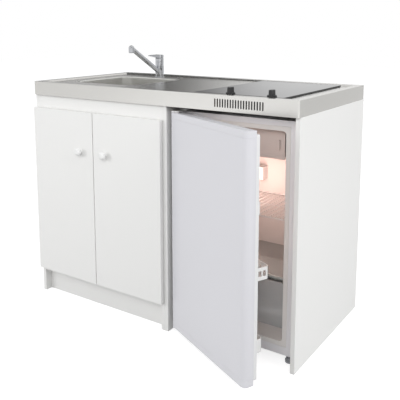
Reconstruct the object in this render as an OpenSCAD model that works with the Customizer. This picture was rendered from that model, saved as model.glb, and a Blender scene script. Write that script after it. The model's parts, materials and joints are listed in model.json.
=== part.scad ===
// Kitchenette unit: a stainless worktop with a pressed sink, a mixer tap and a two-zone
// ceramic hob, on a two-door sink cabinet with an under-counter fridge beside it.
// X runs right along the wall, Y from the front (negative) to the wall (0), Z up.
// The origin is the back left corner of the left side board, on the floor.
// The fridge door stands ajar, as it does at rest; every other piece is closed or down.

/* [Unit] */
// Width of the sink cabinet, left end to the partition
cabinet_w = 664; // [650:1:760]
// Depth of the worktop, wall to front edge
unit_d = 600; // [594:1:650]
// Height of the worktop's rim above the floor
unit_h = 918; // [905:1:960]
// Thickness of the coated boards
board_t = 16; // [15:1:18]
// How far the boards' front edges stand behind the worktop's front
panel_setback = 10; // [6:1:16]

/* [Worktop] */
// Thickness of the steel sheet
steel_t = 1.2; // [0.8:0.1:2]
// Height of the folded front and side aprons
apron_h = 55; // [48:1:62]
// Height of the short fold along the wall
back_fold_h = 30; // [20:1:40]
// Width of the raised rim at the front and the sides
rim_w = 26; // [20:1:30]
// Width of the raised rim along the wall
rim_back_w = 40; // [30:1:46]
// Height of the rim above the deck
rim_h = 6; // [4:0.5:8]
// Run of the slope between the rim and the deck
rim_slope = 8; // [4:1:10]
// Radius of the worktop's upright corners
corner_r = 6; // [3:1:10]
// Number of air slots in the front apron
slot_count = 19; // [9:1:23]
// Spacing of the air slots
slot_pitch = 10.1; // [8:0.1:11]
// Width of one air slot
slot_w = 5; // [3:0.5:6]
// Height of one air slot
slot_h = 29; // [20:1:32]
// Distance from the last slot to the worktop's right end
slot_margin = 127; // [110:1:160]
// Width of the side and front battens under the sheet
batten_w = 40; // [36:1:42]

/* [Sink] */
// Length of the bowl's mouth, left to right
bowl_l = 320; // [280:1:400]
// Width of the bowl's mouth, front to back
bowl_w = 340; // [300:1:360]
// Depth of the bowl below the deck
bowl_depth = 140; // [120:1:160]
// Distance from the worktop's left end to the bowl
bowl_margin = 100; // [90:1:160]
// Distance from the wall to the bowl
bowl_back = 130; // [126:1:140]
// Radius of the bowl's upright corners
bowl_r = 60; // [45:1:80]
// Radius between the bowl's walls and its floor
floor_r = 28; // [16:1:34]
// Radius of the bowl's rolled lip
lip_r = 6; // [4:0.5:8]
// Radius of the waste hole
waste_r = 26; // [24:0.5:30]
// Outer radius of the waste outlet pipe
outlet_r = 20; // [16:0.5:22]
// Radius of the overflow pipe
overflow_r = 10; // [8:0.5:12]

/* [Tap] */
// Distance from the worktop's left end to the tap
tap_margin = 264; // [240:1:300]
// Distance from the wall to the tap
tap_back = 85; // [78:1:95]
// Radius of the tap body
tap_r = 19; // [18:0.5:24]
// Reach of the spout, tap axis to nozzle axis
spout_reach = 198; // [150:1:230]
// Rise of the spout between its foot and its tip
spout_rise = 105; // [60:1:110]
// Radius of the spout tube
spout_r = 10; // [8:0.5:11]
// Length of the lever in front of the tap axis
lever_l = 78; // [60:1:110]
// Radius of the supply tails
tail_r = 5; // [4:0.5:6]

/* [Hob] */
// Width of the hob glass
hob_w = 345; // [320:1:360]
// Thickness of the hob glass
glass_t = 5; // [4:0.5:6]
// Thickness of the seal under the glass
seal_t = 1; // [0.5:0.5:2]
// Distance from the worktop's right end to the hob glass
hob_margin = 72; // [60:1:90]
// Distance from the worktop's front to the hob glass
hob_front = 35; // [30:1:38]
// Distance from the wall to the hob glass
hob_back = 55; // [50:1:75]
// Radius of the rear heater
rear_heater_r = 90; // [72:1:95]
// Radius of the front heater
front_heater_r = 72; // [60:1:80]
// Distance between the two knobs
knob_pitch = 157; // [120:1:165]
// Radius of a hob knob's skirt
hob_knob_r = 16.5; // [14:0.5:19]
// Height of a hob knob
hob_knob_h = 22; // [16:1:28]

/* [Sink cabinet] */
// Height of the plinth
plinth_h = 95; // [80:1:110]
// How far the plinth stands behind the boards' front edges
plinth_recess = 30; // [20:1:50]
// Height of the fascia under the worktop
fascia_h = 63; // [58:1:80]
// How far the doors reach over the fascia
door_overlap = 11; // [6:1:14]
// How far the doors' lower edges stand above the plinth
door_lift = 15; // [10:1:16]
// Gap between the two doors
door_gap = 3; // [2:0.5:5]
// Gap between the closed doors and the boards
door_air = 2; // [1.8:0.1:3]
// Radius of the doors' long edges
door_edge_r = 2; // [1:0.5:3]
// Distance of a door knob from the middle of the doors
door_knob_off = 65; // [45:1:90]
// Height of the door knobs above the floor
door_knob_z = 652; // [560:1:720]
// Radius of a door knob
door_knob_r = 16; // [12:0.5:20]
// Distance of a hinge from the end of its door
hinge_inset = 95; // [80:1:130]
// Radius of a hinge cup
cup_r = 17.5; // [16.5:0.5:17.5]
// Height of the rails along the wall
rail_h = 80; // [60:1:100]
// Thickness of the cabinet's back sheet
back_t = 3; // [3:0.5:5]
// Spacing of the wall screws in a rail
wall_screw_pitch = 400; // [300:10:440]
// Radius of a wall screw's hole
wall_screw_r = 3; // [2.5:0.5:4]

/* [Fridge] */
// Width of the fridge
fridge_w = 480; // [460:1:500]
// Depth of the fridge body
fridge_d = 440; // [425:1:450]
// Height of the fridge body
fridge_h = 817; // [790:1:822]
// Height of the fridge feet
foot_h = 25; // [24:1:32]
// Air between the partition and the fridge
fridge_air_l = 14; // [12:1:20]
// Air between the fridge and the end panel
fridge_air_r = 10; // [8:1:20]
// Thickness of the insulated side walls
wall_side = 44; // [38:1:48]
// Thickness of the insulated top
wall_top = 34; // [30:1:40]
// Thickness of the insulated floor
wall_floor = 45; // [38:1:50]
// Thickness of the insulated back
wall_back = 40; // [34:1:46]
// Thickness of the inner liner
liner_t = 2; // [1.5:0.5:3]
// Height of the compressor bay
bay_h = 185; // [175:1:200]
// Depth of the compressor bay
bay_d = 150; // [145:1:160]
// Thickness of the fridge door
fridge_door_t = 38; // [36:1:42]
// Radius of the fridge door's outer long edges
fridge_edge_r = 18; // [8:1:18]
// Thickness of the door seal
gasket_t = 13.7; // [12:0.1:15]
// Height of the door's top and bottom end caps
cap_h = 22; // [18:1:30]
// Angle at which the fridge door stands ajar
ajar = 25.5; // [10:0.5:30]
// Depth of the bottle rack at the foot of the door
rack_d = 76; // [60:1:78]
// Depth of the middle rack
middle_rack_d = 98; // [76:1:100]
// Depth of the upper rack
upper_rack_d = 63; // [50:1:70]
// Width of the door racks
rack_w = 344; // [300:1:346]
// Height of the wire shelf above the floor
shelf_z = 470; // [440:1:540]
// Height of the ice box
ice_h = 90; // [80:1:110]
// Height of the ice box flap
flap_h = 100; // [90:1:116]
// Radius of the compressor shell
comp_r = 62; // [55:1:66]
// Number of condenser tube runs
cond_runs = 11; // [7:1:13]

/* [Hidden] */
$fn = 48;
steel_c = [0.84, 0.83, 0.81];
chrome_c = [0.86, 0.87, 0.89];
white_c = [0.92, 0.92, 0.91];
fridge_c = [0.88, 0.87, 0.89];
plastic_c = [0.93, 0.94, 0.94];
grey_c = [0.55, 0.56, 0.58];
dark_c = [0.1, 0.1, 0.11];
wood_c = [0.78, 0.68, 0.52];
clear_c = [0.75, 0.82, 0.85];

// Fits
touch_gap = 0.2;      // between pieces that lie beside each other on one body
run_gap = 0.1;        // radial play of a shaft in its bore
move_gap = 0.3;       // between faces that pass each other
eps = 1;              // how far a cutting solid runs past the face it cuts

// Main planes
niche_w = fridge_air_l + fridge_w + fridge_air_r;
partition_x = cabinet_w;
niche_x = partition_x + board_t;
end_x = niche_x + niche_w;
unit_w = end_x + board_t;
board_front = -(unit_d - panel_setback);
board_top = unit_h - apron_h;
deck_z = unit_h - rim_h;
deck_under = deck_z - steel_t;
inner_w = cabinet_w - 2 * board_t;

// Sink
bowl_x = bowl_margin;
bowl_y = -(bowl_back + bowl_w);
bowl_cx = bowl_x + bowl_l / 2;
bowl_cy = bowl_y + bowl_w / 2;
bowl_floor = deck_z - bowl_depth;
lip_flat = 8;
lip_out = lip_r + lip_flat;
waste_flange_r = waste_r + 9;
waste_flange_t = 3;
waste_tube_r = waste_r - 0.5;
waste_bore_r = waste_r - 6;
waste_washer_t = 4;
waste_nut_h = 14;
waste_body_z = bowl_floor - 50;
waste_tail_z = bowl_floor - 70;
spigot_z = bowl_floor - 24 - overflow_r;
spigot_l = 22;
overflow_z = deck_z - 46;
overflow_back = 14;
trap_nut_r = outlet_r + 6;
trap_nut_h = 18;
trap_top_z = waste_tail_z - 12;
trap_r = 38;
trap_h = 96;
outlet_z = trap_top_z - outlet_r - 6;
pipe_wall = 2;
outlet_end = -4;

// Tap
tap_x = tap_margin;
tap_y = -tap_back;
tap_hole_r = 17.5;
tap_shank_r = 16;
tap_base_h = 4;
collar_z = deck_z + 20;
collar_h = 28;
neck_r = tap_shank_r;
head_z = collar_z + collar_h + 22;
head_h = 18;
stem_r = 6;
stem_h = 10;
spout_slope = atan2(spout_rise, spout_reach - tap_r);
spout_seat = 5;
spout_z0 = collar_z + 12.5;
spout_tip_z = spout_z0 + spout_rise;
nozzle_r = spout_r + 2.5;
nozzle_h = 18;
nozzle_wall = 2;
nozzle_bore_h = 9;
aerator_h = 7;
lever_pivot_z = head_z + head_h + 5;
lever_pivot_y = tap_y + 9;
lever_pin_r = 2.5;
lug_w = 10;
lug_r = 5.5;
lever_drop = 4.4;
tap_nut_h = 10;
tap_washer_t = 2;
shank_l = 34;
tail_l = 170;
tail_end_r = tail_r - 1;
tail_end_h = 13;
tail_pitch = 16;

// Hob
hob_x = unit_w - hob_margin - hob_w;
hob_y = -(unit_d - hob_front);
hob_d = unit_d - hob_front - hob_back;
hob_glass_r = 8;
glass_z = deck_z + seal_t;
glass_top = glass_z + glass_t;
tray_inset = 12;
tray_gap = 2;
batten_air = 4;
tray_h = 44;
tray_t = 1.5;
tray_x = hob_x + tray_inset;
tray_y = hob_y + tray_inset;
tray_w = hob_w - 2 * tray_inset;
tray_d = hob_d - 2 * tray_inset;
tray_z = glass_z - tray_h;
heater_h = 30;
heater_wall = 5;
heater_inset = 18;
heater_gap = 53;
rear_heater_x = hob_x + hob_w / 2 - 7;
rear_heater_y = hob_y + hob_d - tray_inset - heater_inset - rear_heater_r;
front_heater_x = hob_x + hob_w / 2;
front_heater_y = rear_heater_y - rear_heater_r - front_heater_r - heater_gap;
knob_shift = 43;
hob_knob_y = hob_y + 20;
hob_knob_x = [for (side = [-1, 1]) hob_x + hob_w / 2 + knob_shift + side * knob_pitch / 2];
knob_hole_r = 6;
knob_shaft_r = 3;
knob_skirt_h = 5;
knob_grip_w = 12;
switch_w = 34;
switch_d = 20;
switch_back = 4;
switch_h = 30;
switch_gap = 4;

// Sink cabinet
plinth_y = board_front + plinth_recess;
fascia_z = board_top - fascia_h;
door_z0 = plinth_h + door_lift;
door_z1 = fascia_z + door_overlap;
door_h = door_z1 - door_z0;
door_back = board_front - door_air;
door_front = door_back - board_t;
door_side = door_gap / 2;
door_w = cabinet_w / 2 - 2 * door_side;
left_door_x = door_side;
right_door_x = cabinet_w - door_side - door_w;
left_knob_x = cabinet_w / 2 - door_knob_off;
right_knob_x = cabinet_w / 2 + door_knob_off;
hinge_z = [door_z0 + hinge_inset, door_z1 - hinge_inset];
cup_edge = 22;
cup_wall = 2;
cup_depth = 11.5;
arm_h = 12;
arm_plate_h = 46;
arm_t = 8;
knob_stem_r = 6;
knob_screw_r = 2.3;
door_knob_l = 26;
back_air = 6;
service_w = 260;
service_h = 200;
wall_screw_z = board_top - rail_h / 2;

// Fridge body
fx = niche_x + fridge_air_l;
fz = foot_h;
ftop = fz + fridge_h;
fdoor_front = board_front;
fdoor_back = fdoor_front + fridge_door_t;
ffront = fdoor_back + gasket_t + move_gap;
fback = ffront + fridge_d;
cav_x = fx + wall_side;
cav_w = fridge_w - 2 * wall_side;
cav_z = fz + wall_floor;
cav_top = ftop - wall_top;
cav_back = fback - wall_back;
step_back = fback - bay_d - wall_back;
step_z = fz + bay_h + wall_back;
cav_r = 12;
flange_w = 14;
ledge_w = 8;
ledge_h = 6;
in_x = cav_x + liner_t;
in_w = cav_w - 2 * liner_t;
in_z = cav_z + liner_t;
in_top = cav_top - liner_t;
in_back = cav_back - liner_t;
in_step_back = step_back - liner_t;
in_step_z = step_z + liner_t;

// Fridge inside
panel_t = 12;
rack_reach = fdoor_back + panel_t + rack_d;
shelf_front = rack_reach + 22;
wire_r = 3;
rod_r = 1.5;
shelf_rods = 17;
cover_t = 4;
crisper_gap = 3;
crisper_wall = 2.5;
crisper_grip = 14;
crisper_front = rack_reach + 10;
crisper_top = in_step_z + 2 - crisper_gap;
ice_gap = 7;
ice_t = 2;
ice_front = ffront + 36;
ice_top = in_top - 6;
ice_z = ice_top - ice_h;
ice_back = 12;
flap_t = 4;
flap_gap = 2;
flap_over = 3;
flap_gap_r = 18;
flap_pin_r = 1.5;
flap_lug_r = 3.2;
flap_lug_h = 8;
flap_axis_x = in_x + 8;
flap_axis_y = ice_front - flap_gap - flap_t / 2;
flap_lug_z = [ice_z + 8, ice_top - 8 - flap_lug_h];
stat_x = in_x + 22;
stat_w = 96;
stat_h = 52;
stat_d = 40;
stat_z = shelf_z + 58;
stat_knob_r = 13;
stat_knob_l = 10;

// Fridge door, drawn closed and then turned ajar about its pins
pin_x = fx + 18;
pin_y = fdoor_front + 20;
pin_r = 4;
fdoor_gap = 2;
fdoor_w = fridge_w - fdoor_gap;
fdoor_z0 = fz - 1;
fdoor_z1 = ftop - 1;
bracket_t = 4;
pin_l = 13;
inner_off = 14;
free_off = 3;
gasket_w = 22;
liner_base_t = 3;
panel_x0 = fx + 68;
panel_w = 340;
rack_x0 = pin_x + 45;
rack_y0 = fdoor_back + panel_t;
rack_t = 2.5;
rack_r = 14;
rack_slot_w = 12;
rack_slots = 15;
bottle_rack_h = 49;
middle_rack_h = 43;
upper_rack_h = 40;
bottle_rack_z = fdoor_z0 + 55;
middle_rack_z = fdoor_z0 + 307;
upper_rack_z = fdoor_z1 - 288;
panel_z0 = fdoor_z0 + inner_off + gasket_w + 8;
panel_z1 = fdoor_z1 - inner_off - gasket_w - 14;
foot_r = 16;
cond_tube_r = 2.5;
cond_plate_t = 1;
cond_stand = 14;
cond_side = 44;
cond_end = 54;
cond_plate_x = 24;
cond_plate_z = 20;

// ---------------------------------------------------------------- shared shapes

// Rectangle with round corners, lower left corner at the origin
module rounded_rect(w, d, r) {
    translate([r, 0]) square([w - 2 * r, d]);
    translate([0, r]) square([w, d - 2 * r]);
    for (x = [r, w - r], y = [r, d - r]) translate([x, y]) circle(r);
}

module rounded_plate(w, d, h, r) {
    linear_extrude(h) rounded_rect(w, d, r);
}

// Solid in the shape of a pressed bowl: upright corners rc, floor fillet rb
module pan_solid(l, w, h, rc, rb) {
    translate([0, 0, rb]) rounded_plate(l, w, h - rb, rc);
    translate([rb, rb, 0]) rounded_plate(l - 2 * rb, w - 2 * rb, rb, rc - rb);
    for (y = [rb, w - rb]) translate([rc, y, rb]) rotate([0, 90, 0]) cylinder(r = rb, h = l - 2 * rc);
    for (x = [rb, l - rb]) translate([x, rc, rb]) rotate([-90, 0, 0]) cylinder(r = rb, h = w - 2 * rc);
    for (x = [rc, l - rc], y = [rc, w - rc])
        translate([x, y, rb]) rotate_extrude() translate([rc - rb, 0]) circle(rb);
}

// Round bar laid along the outline of a rounded rectangle
module outline_bar(l, w, rc, r) {
    for (y = [0, w]) translate([rc, y, 0]) rotate([0, 90, 0]) cylinder(r = r, h = l - 2 * rc);
    for (x = [0, l]) translate([x, rc, 0]) rotate([-90, 0, 0]) cylinder(r = r, h = w - 2 * rc);
    for (corner = [[rc, rc, 180], [l - rc, rc, 270], [l - rc, w - rc, 0], [rc, w - rc, 90]])
        translate([corner[0], corner[1], 0]) rotate(corner[2])
            rotate_extrude(angle = 90) translate([rc, 0]) circle(r);
}

// Ring between two radii
module ring(r_out, r_in, h) {
    difference() {
        cylinder(r = r_out, h = h);
        translate([0, 0, -eps]) cylinder(r = r_in, h = h + 2 * eps);
    }
}

// Open tray: outer size w by d by h, walls and floor t
module tray(w, d, h, t, r) {
    difference() {
        rounded_plate(w, d, h, r);
        translate([t, t, t]) rounded_plate(w - 2 * t, d - 2 * t, h, max(r - t, 0.5));
    }
}

// Turns the fridge door's pieces from closed to ajar about the door's pins
module door_ajar() {
    translate([pin_x, pin_y, 0]) rotate([0, 0, -ajar]) translate([-pin_x, -pin_y, 0]) children();
}

// ---------------------------------------------------------------- worktop

// Solid that the sheet's top sinks by: sloping sides between the rim and the deck.
// drop lowers it and grow widens it, for the underside of the same sheet.
module deck_recess(drop, grow) {
    low = deck_z - drop;
    high = unit_h + eps - drop;
    run = rim_slope * (high - low) / rim_h;
    x0 = rim_w - grow;
    x1 = unit_w - rim_w + grow;
    y0 = -unit_d + rim_w - grow;
    y1 = -rim_back_w + grow;
    s = rim_slope;
    intersection() {
        rotate([90, 0, 0]) linear_extrude(unit_d)
            polygon([[x0 + s, low], [x1 - s, low], [x1 - s + run, high], [x0 + s - run, high]]);
        rotate([90, 0, 90]) linear_extrude(unit_w)
            polygon([[y0 + s, low], [y1 - s, low], [y1 - s + run, high], [y0 + s - run, high]]);
    }
}

// Upright slot with round ends, through the front apron
module air_slot() {
    rotate([90, 0, 0]) linear_extrude(3 * eps + steel_t, center = true) {
        square([slot_w, slot_h - slot_w], center = true);
        for (side = [-1, 1]) translate([0, side * (slot_h - slot_w) / 2]) circle(slot_w / 2);
    }
}

module worktop() {
    color(steel_c) difference() {
        translate([0, -unit_d, board_top]) rounded_plate(unit_w, unit_d, apron_h, corner_r);
        deck_recess(0, 0);
        difference() {
            translate([steel_t, -unit_d + steel_t, board_top - eps])
                rounded_plate(unit_w - 2 * steel_t, unit_d - 2 * steel_t,
                    apron_h + eps - steel_t, corner_r - steel_t);
            deck_recess(steel_t, steel_t);
        }
        translate([steel_t + batten_w, -rim_back_w, board_top - eps])
            cube([unit_w - 2 * (steel_t + batten_w), rim_back_w + eps, apron_h - back_fold_h + eps]);
        translate([bowl_x - lip_out, bowl_y - lip_out, deck_z - rim_h - 2 * eps])
            rounded_plate(bowl_l + 2 * lip_out, bowl_w + 2 * lip_out, 3 * rim_h, bowl_r + lip_out);
        translate([tray_x - tray_gap, tray_y - tray_gap, deck_z - rim_h - 2 * eps])
            rounded_plate(tray_w + 2 * tray_gap, tray_d + 2 * tray_gap, 3 * rim_h, tray_gap + 2);
        translate([tap_x, tap_y, deck_z - rim_h]) cylinder(r = tap_hole_r, h = 2 * rim_h);
        for (i = [0 : slot_count - 1])
            translate([unit_w - slot_margin - i * slot_pitch, -unit_d + steel_t / 2, board_top + apron_h / 2])
                air_slot();
    }
}

module worktop_battens() {
    top = deck_under - board_top;
    y0 = -unit_d + steel_t + touch_gap;
    x0 = steel_t + touch_gap;
    w = unit_w - 2 * x0;
    d = unit_d - 2 * (steel_t + touch_gap);
    slots_w = (slot_count - 1) * slot_pitch + 20;
    window_d = d - batten_w + 2 - rim_back_w - rim_slope;
    color(wood_c) difference() {
        translate([x0, y0, board_top]) cube([w, d, top]);
        translate([x0 + batten_w, y0 + batten_w - 2, board_top - eps])
            cube([partition_x - 12 - x0 - batten_w, window_d, top + 2 * eps]);
        translate([niche_x + 12, y0 + batten_w - 2, board_top - eps])
            cube([unit_w - x0 - batten_w - niche_x - 12, window_d, top + 2 * eps]);
        translate([unit_w - slot_margin + 10 - slots_w, y0 - eps, board_top - eps])
            cube([slots_w, batten_w, top + 2 * eps]);
        translate([bowl_x - lip_out - batten_air, bowl_y - lip_out - batten_air, board_top - eps])
            cube([bowl_l + 2 * (lip_out + batten_air), bowl_w + 2 * (lip_out + batten_air), top + 2 * eps]);
        translate([tray_x - batten_air, tray_y - batten_air, board_top - eps])
            cube([tray_w + 2 * batten_air, tray_d + 2 * batten_air, top + 2 * eps]);
        for (x = [x0, x0 + w], y = [y0, y0 + d])
            translate([x - corner_r, y - corner_r, board_top - eps])
                cube([2 * corner_r, 2 * corner_r, top + 2 * eps]);
    }
}

// ---------------------------------------------------------------- sink

module sink_bowl() {
    color(steel_c) difference() {
        union() {
            translate([bowl_x - steel_t, bowl_y - steel_t, bowl_floor - steel_t])
                pan_solid(bowl_l + 2 * steel_t, bowl_w + 2 * steel_t,
                    bowl_depth + steel_t - lip_r, bowl_r + steel_t, floor_r + steel_t);
            translate([bowl_x - lip_out + touch_gap, bowl_y - lip_out + touch_gap, deck_z - lip_r - steel_t])
                rounded_plate(bowl_l + 2 * (lip_out - touch_gap), bowl_w + 2 * (lip_out - touch_gap),
                    lip_r + steel_t, bowl_r + lip_out - touch_gap);
        }
        translate([bowl_x, bowl_y, bowl_floor])
            pan_solid(bowl_l, bowl_w, bowl_depth + eps, bowl_r, floor_r);
        difference() {
            translate([bowl_x - lip_r, bowl_y - lip_r, deck_z - lip_r])
                rounded_plate(bowl_l + 2 * lip_r, bowl_w + 2 * lip_r, lip_r + eps, bowl_r + lip_r);
            translate([bowl_x - lip_r, bowl_y - lip_r, deck_z - lip_r])
                outline_bar(bowl_l + 2 * lip_r, bowl_w + 2 * lip_r, bowl_r + lip_r, lip_r);
        }
        translate([bowl_cx, bowl_cy, bowl_floor - 2 * steel_t]) cylinder(r = waste_r, h = 4 * steel_t);
        translate([bowl_cx, bowl_y + bowl_w - eps, overflow_z]) rotate([-90, 0, 0])
            cylinder(r = overflow_r + 2, h = steel_t + 2 * eps);
    }
}

module sink_waste() {
    color(chrome_c) translate([bowl_cx, bowl_cy, 0]) {
        difference() {
            union() {
                translate([0, 0, bowl_floor]) cylinder(r = waste_flange_r, h = waste_flange_t);
                translate([0, 0, waste_body_z]) cylinder(r = waste_tube_r, h = bowl_floor - waste_body_z);
                translate([0, 0, bowl_floor - steel_t - waste_washer_t])
                    cylinder(r = waste_flange_r, h = waste_washer_t);
                translate([0, 0, bowl_floor - steel_t - waste_washer_t - waste_nut_h])
                    cylinder(r = waste_flange_r, h = waste_nut_h, $fn = 8);
                translate([0, 0, waste_tail_z]) cylinder(r = outlet_r, h = waste_body_z - waste_tail_z);
                translate([0, 0, spigot_z]) rotate([-90, 0, 0])
                    cylinder(r = overflow_r, h = waste_tube_r + spigot_l);
            }
            translate([0, 0, bowl_floor - 24]) cylinder(r = waste_bore_r, h = 24 + waste_flange_t + eps);
            translate([0, 0, waste_tail_z - eps]) cylinder(r = outlet_r - pipe_wall, h = 60);
            translate([0, 0, spigot_z]) rotate([-90, 0, 0])
                cylinder(r = overflow_r - pipe_wall, h = waste_tube_r + spigot_l + eps);
        }
    }
}

module drain_plug() {
    basket_r = waste_bore_r - move_gap;
    color(chrome_c) translate([bowl_cx, bowl_cy, bowl_floor]) {
        difference() {
            translate([0, 0, -18]) cylinder(r = basket_r, h = 18 + waste_flange_t);
            translate([0, 0, -16]) cylinder(r = basket_r - 1.5, h = 18 + waste_flange_t);
            for (a = [0 : 45 : 315]) rotate(a) translate([9, 0, -18 - eps]) cylinder(r = 2.2, h = 4);
        }
        translate([0, 0, -16]) cylinder(r = 2.5, h = 16 + waste_flange_t);
        translate([0, 0, waste_flange_t]) cylinder(r = 7, h = 5);
    }
}

module bottle_trap() {
    color("white") translate([bowl_cx, bowl_cy, 0]) {
        translate([0, 0, trap_top_z]) ring(trap_nut_r, outlet_r + run_gap, trap_nut_h);
        difference() {
            union() {
                translate([0, 0, trap_top_z - trap_h]) cylinder(r = trap_r, h = trap_h);
                translate([0, 0, trap_top_z - trap_h]) rotate_extrude()
                    polygon([[0, -14], [trap_r - 12, -14], [trap_r - 2, -6], [trap_r - 2, 0], [0, 0]]);
                translate([0, 0, outlet_z]) rotate([-90, 0, 0])
                    cylinder(r = outlet_r, h = outlet_end - bowl_cy);
                translate([0, 0, outlet_z]) rotate([-90, 0, 0])
                    cylinder(r = outlet_r + 6, h = trap_r + 20);
            }
            translate([0, 0, trap_top_z - trap_h]) cylinder(r = trap_r - 3, h = trap_h - 4);
            translate([0, 0, trap_top_z - 5]) cylinder(r = outlet_r - pipe_wall, h = 10);
            translate([0, 0, outlet_z]) rotate([-90, 0, 0])
                cylinder(r = outlet_r - pipe_wall, h = outlet_end - bowl_cy + eps);
        }
    }
}

module overflow_pipe() {
    wall_y = bowl_y + bowl_w + steel_t;
    drop_y = wall_y + overflow_back;
    near = bowl_cy + waste_tube_r + 2;
    color("white") translate([bowl_cx, 0, 0]) {
        difference() {
            union() {
                translate([0, bowl_y + bowl_w - 2, overflow_z]) rotate([-90, 0, 0])
                    cylinder(r = overflow_r + 8, h = 2);
                translate([0, bowl_y + bowl_w - 2, overflow_z]) rotate([-90, 0, 0])
                    cylinder(r = overflow_r + 1.8, h = overflow_back + steel_t + 2);
                translate([0, wall_y, overflow_z]) rotate([-90, 0, 0])
                    cylinder(r = overflow_r + 6, h = 4);
                translate([0, drop_y, spigot_z]) cylinder(r = overflow_r, h = overflow_z - spigot_z);
                translate([0, drop_y, overflow_z]) sphere(overflow_r + 1.8);
                translate([0, drop_y, spigot_z]) sphere(overflow_r);
                translate([0, near, spigot_z]) rotate([-90, 0, 0])
                    cylinder(r = overflow_r + 3, h = spigot_l + 6);
                translate([0, near, spigot_z]) rotate([-90, 0, 0])
                    cylinder(r = overflow_r, h = drop_y - near);
            }
            translate([0, near - eps, spigot_z]) rotate([-90, 0, 0])
                cylinder(r = overflow_r + run_gap, h = spigot_l + eps);
            for (z = [-6, 0, 6]) translate([-8, bowl_y + bowl_w - 2 - eps, overflow_z + z - 1.5])
                cube([16, 6, 3]);
        }
    }
}

// ---------------------------------------------------------------- tap

module tap_body() {
    color(chrome_c) translate([tap_x, tap_y, 0]) {
        difference() {
            union() {
                translate([0, 0, deck_z]) cylinder(r = tap_r + 3, h = tap_base_h);
                translate([0, 0, deck_z]) cylinder(r = tap_r, h = collar_z - deck_z);
                translate([0, 0, collar_z]) cylinder(r = neck_r, h = collar_h + 1);
                translate([0, 0, collar_z + collar_h + move_gap])
                    cylinder(r = tap_r, h = head_z - collar_z - collar_h - move_gap);
                translate([0, 0, head_z]) cylinder(r = stem_r, h = stem_h);
                translate([0, 0, deck_z - shank_l]) cylinder(r = tap_shank_r, h = shank_l);
            }
            for (side = [-1, 1]) translate([side * tail_pitch / 2, 0, deck_z - shank_l - eps])
                cylinder(r = tail_end_r + touch_gap, h = tail_end_h + 2 * eps);
        }
    }
}

module tap_fixing() {
    washer_z = deck_under - tap_washer_t;
    color(grey_c) translate([tap_x, tap_y, 0]) {
        translate([0, 0, washer_z]) ring(tap_r + 5, tap_shank_r + run_gap, tap_washer_t);
        difference() {
            translate([0, 0, washer_z - tap_nut_h]) cylinder(r = tap_r + 2, h = tap_nut_h, $fn = 6);
            translate([0, 0, washer_z - tap_nut_h - eps])
                cylinder(r = tap_shank_r + run_gap, h = tap_nut_h + 2 * eps, $fn = 48);
        }
        for (side = [-1, 1]) translate([side * tail_pitch / 2, 0, deck_z - shank_l - tail_l]) {
            cylinder(r = tail_r - touch_gap, h = tail_l - eps);
            cylinder(r = tail_end_r, h = tail_l + tail_end_h);
        }
    }
}

module tap_spout() {
    color(chrome_c) translate([tap_x, tap_y, 0]) difference() {
        union() {
            translate([0, 0, collar_z + move_gap]) cylinder(r = tap_r + 1, h = collar_h - move_gap);
            translate([0, -tap_r, spout_z0]) rotate([90 - spout_slope, 0, 0]) translate([0, 0, -spout_seat])
                cylinder(r = spout_r, h = spout_seat + norm([spout_reach - tap_r, spout_rise]));
            translate([0, -spout_reach, spout_tip_z]) sphere(nozzle_r);
            translate([0, -spout_reach, spout_tip_z - nozzle_h]) cylinder(r = nozzle_r, h = nozzle_h);
        }
        translate([0, 0, collar_z - eps]) cylinder(r = neck_r + run_gap, h = collar_h + 2 * eps);
        translate([0, -spout_reach, spout_tip_z - nozzle_h - 3 * eps])
            cylinder(r = nozzle_r - nozzle_wall, h = nozzle_bore_h + 3 * eps);
    }
}

module aerator() {
    color(grey_c) translate([tap_x, tap_y - spout_reach, spout_tip_z - nozzle_h - 2]) {
        ring(nozzle_r - nozzle_wall - touch_gap, nozzle_r - 2 * nozzle_wall, aerator_h);
        translate([0, 0, 3]) difference() {
            cylinder(r = nozzle_r - 2 * nozzle_wall + 0.5, h = 2);
            for (r = [3, 6], a = [0 : 60 : 300])
                rotate(a) translate([r, 0, -eps]) cylinder(r = 0.9, h = 4);
        }
    }
}

module tap_head() {
    base = head_z + move_gap;
    color(chrome_c) translate([tap_x, tap_y, 0]) difference() {
        union() {
            translate([0, 0, base]) rotate_extrude()
                polygon([[0, 0], [tap_r, 0], [tap_r, head_h - 3], [tap_r - 2, head_h - move_gap],
                    [0, head_h - move_gap]]);
            translate([-lug_w / 2, lever_pivot_y - tap_y - lug_r, base])
                cube([lug_w, 2 * lug_r, lever_pivot_z - base]);
            translate([-lug_w / 2, lever_pivot_y - tap_y, lever_pivot_z]) rotate([0, 90, 0])
                cylinder(r = lug_r, h = lug_w);
        }
        translate([0, 0, head_z - eps]) cylinder(r = stem_r + run_gap, h = stem_h + 1.5);
        translate([-lug_w, lever_pivot_y - tap_y, lever_pivot_z]) rotate([0, 90, 0])
            cylinder(r = lever_pin_r + run_gap, h = 2 * lug_w);
    }
}

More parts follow.
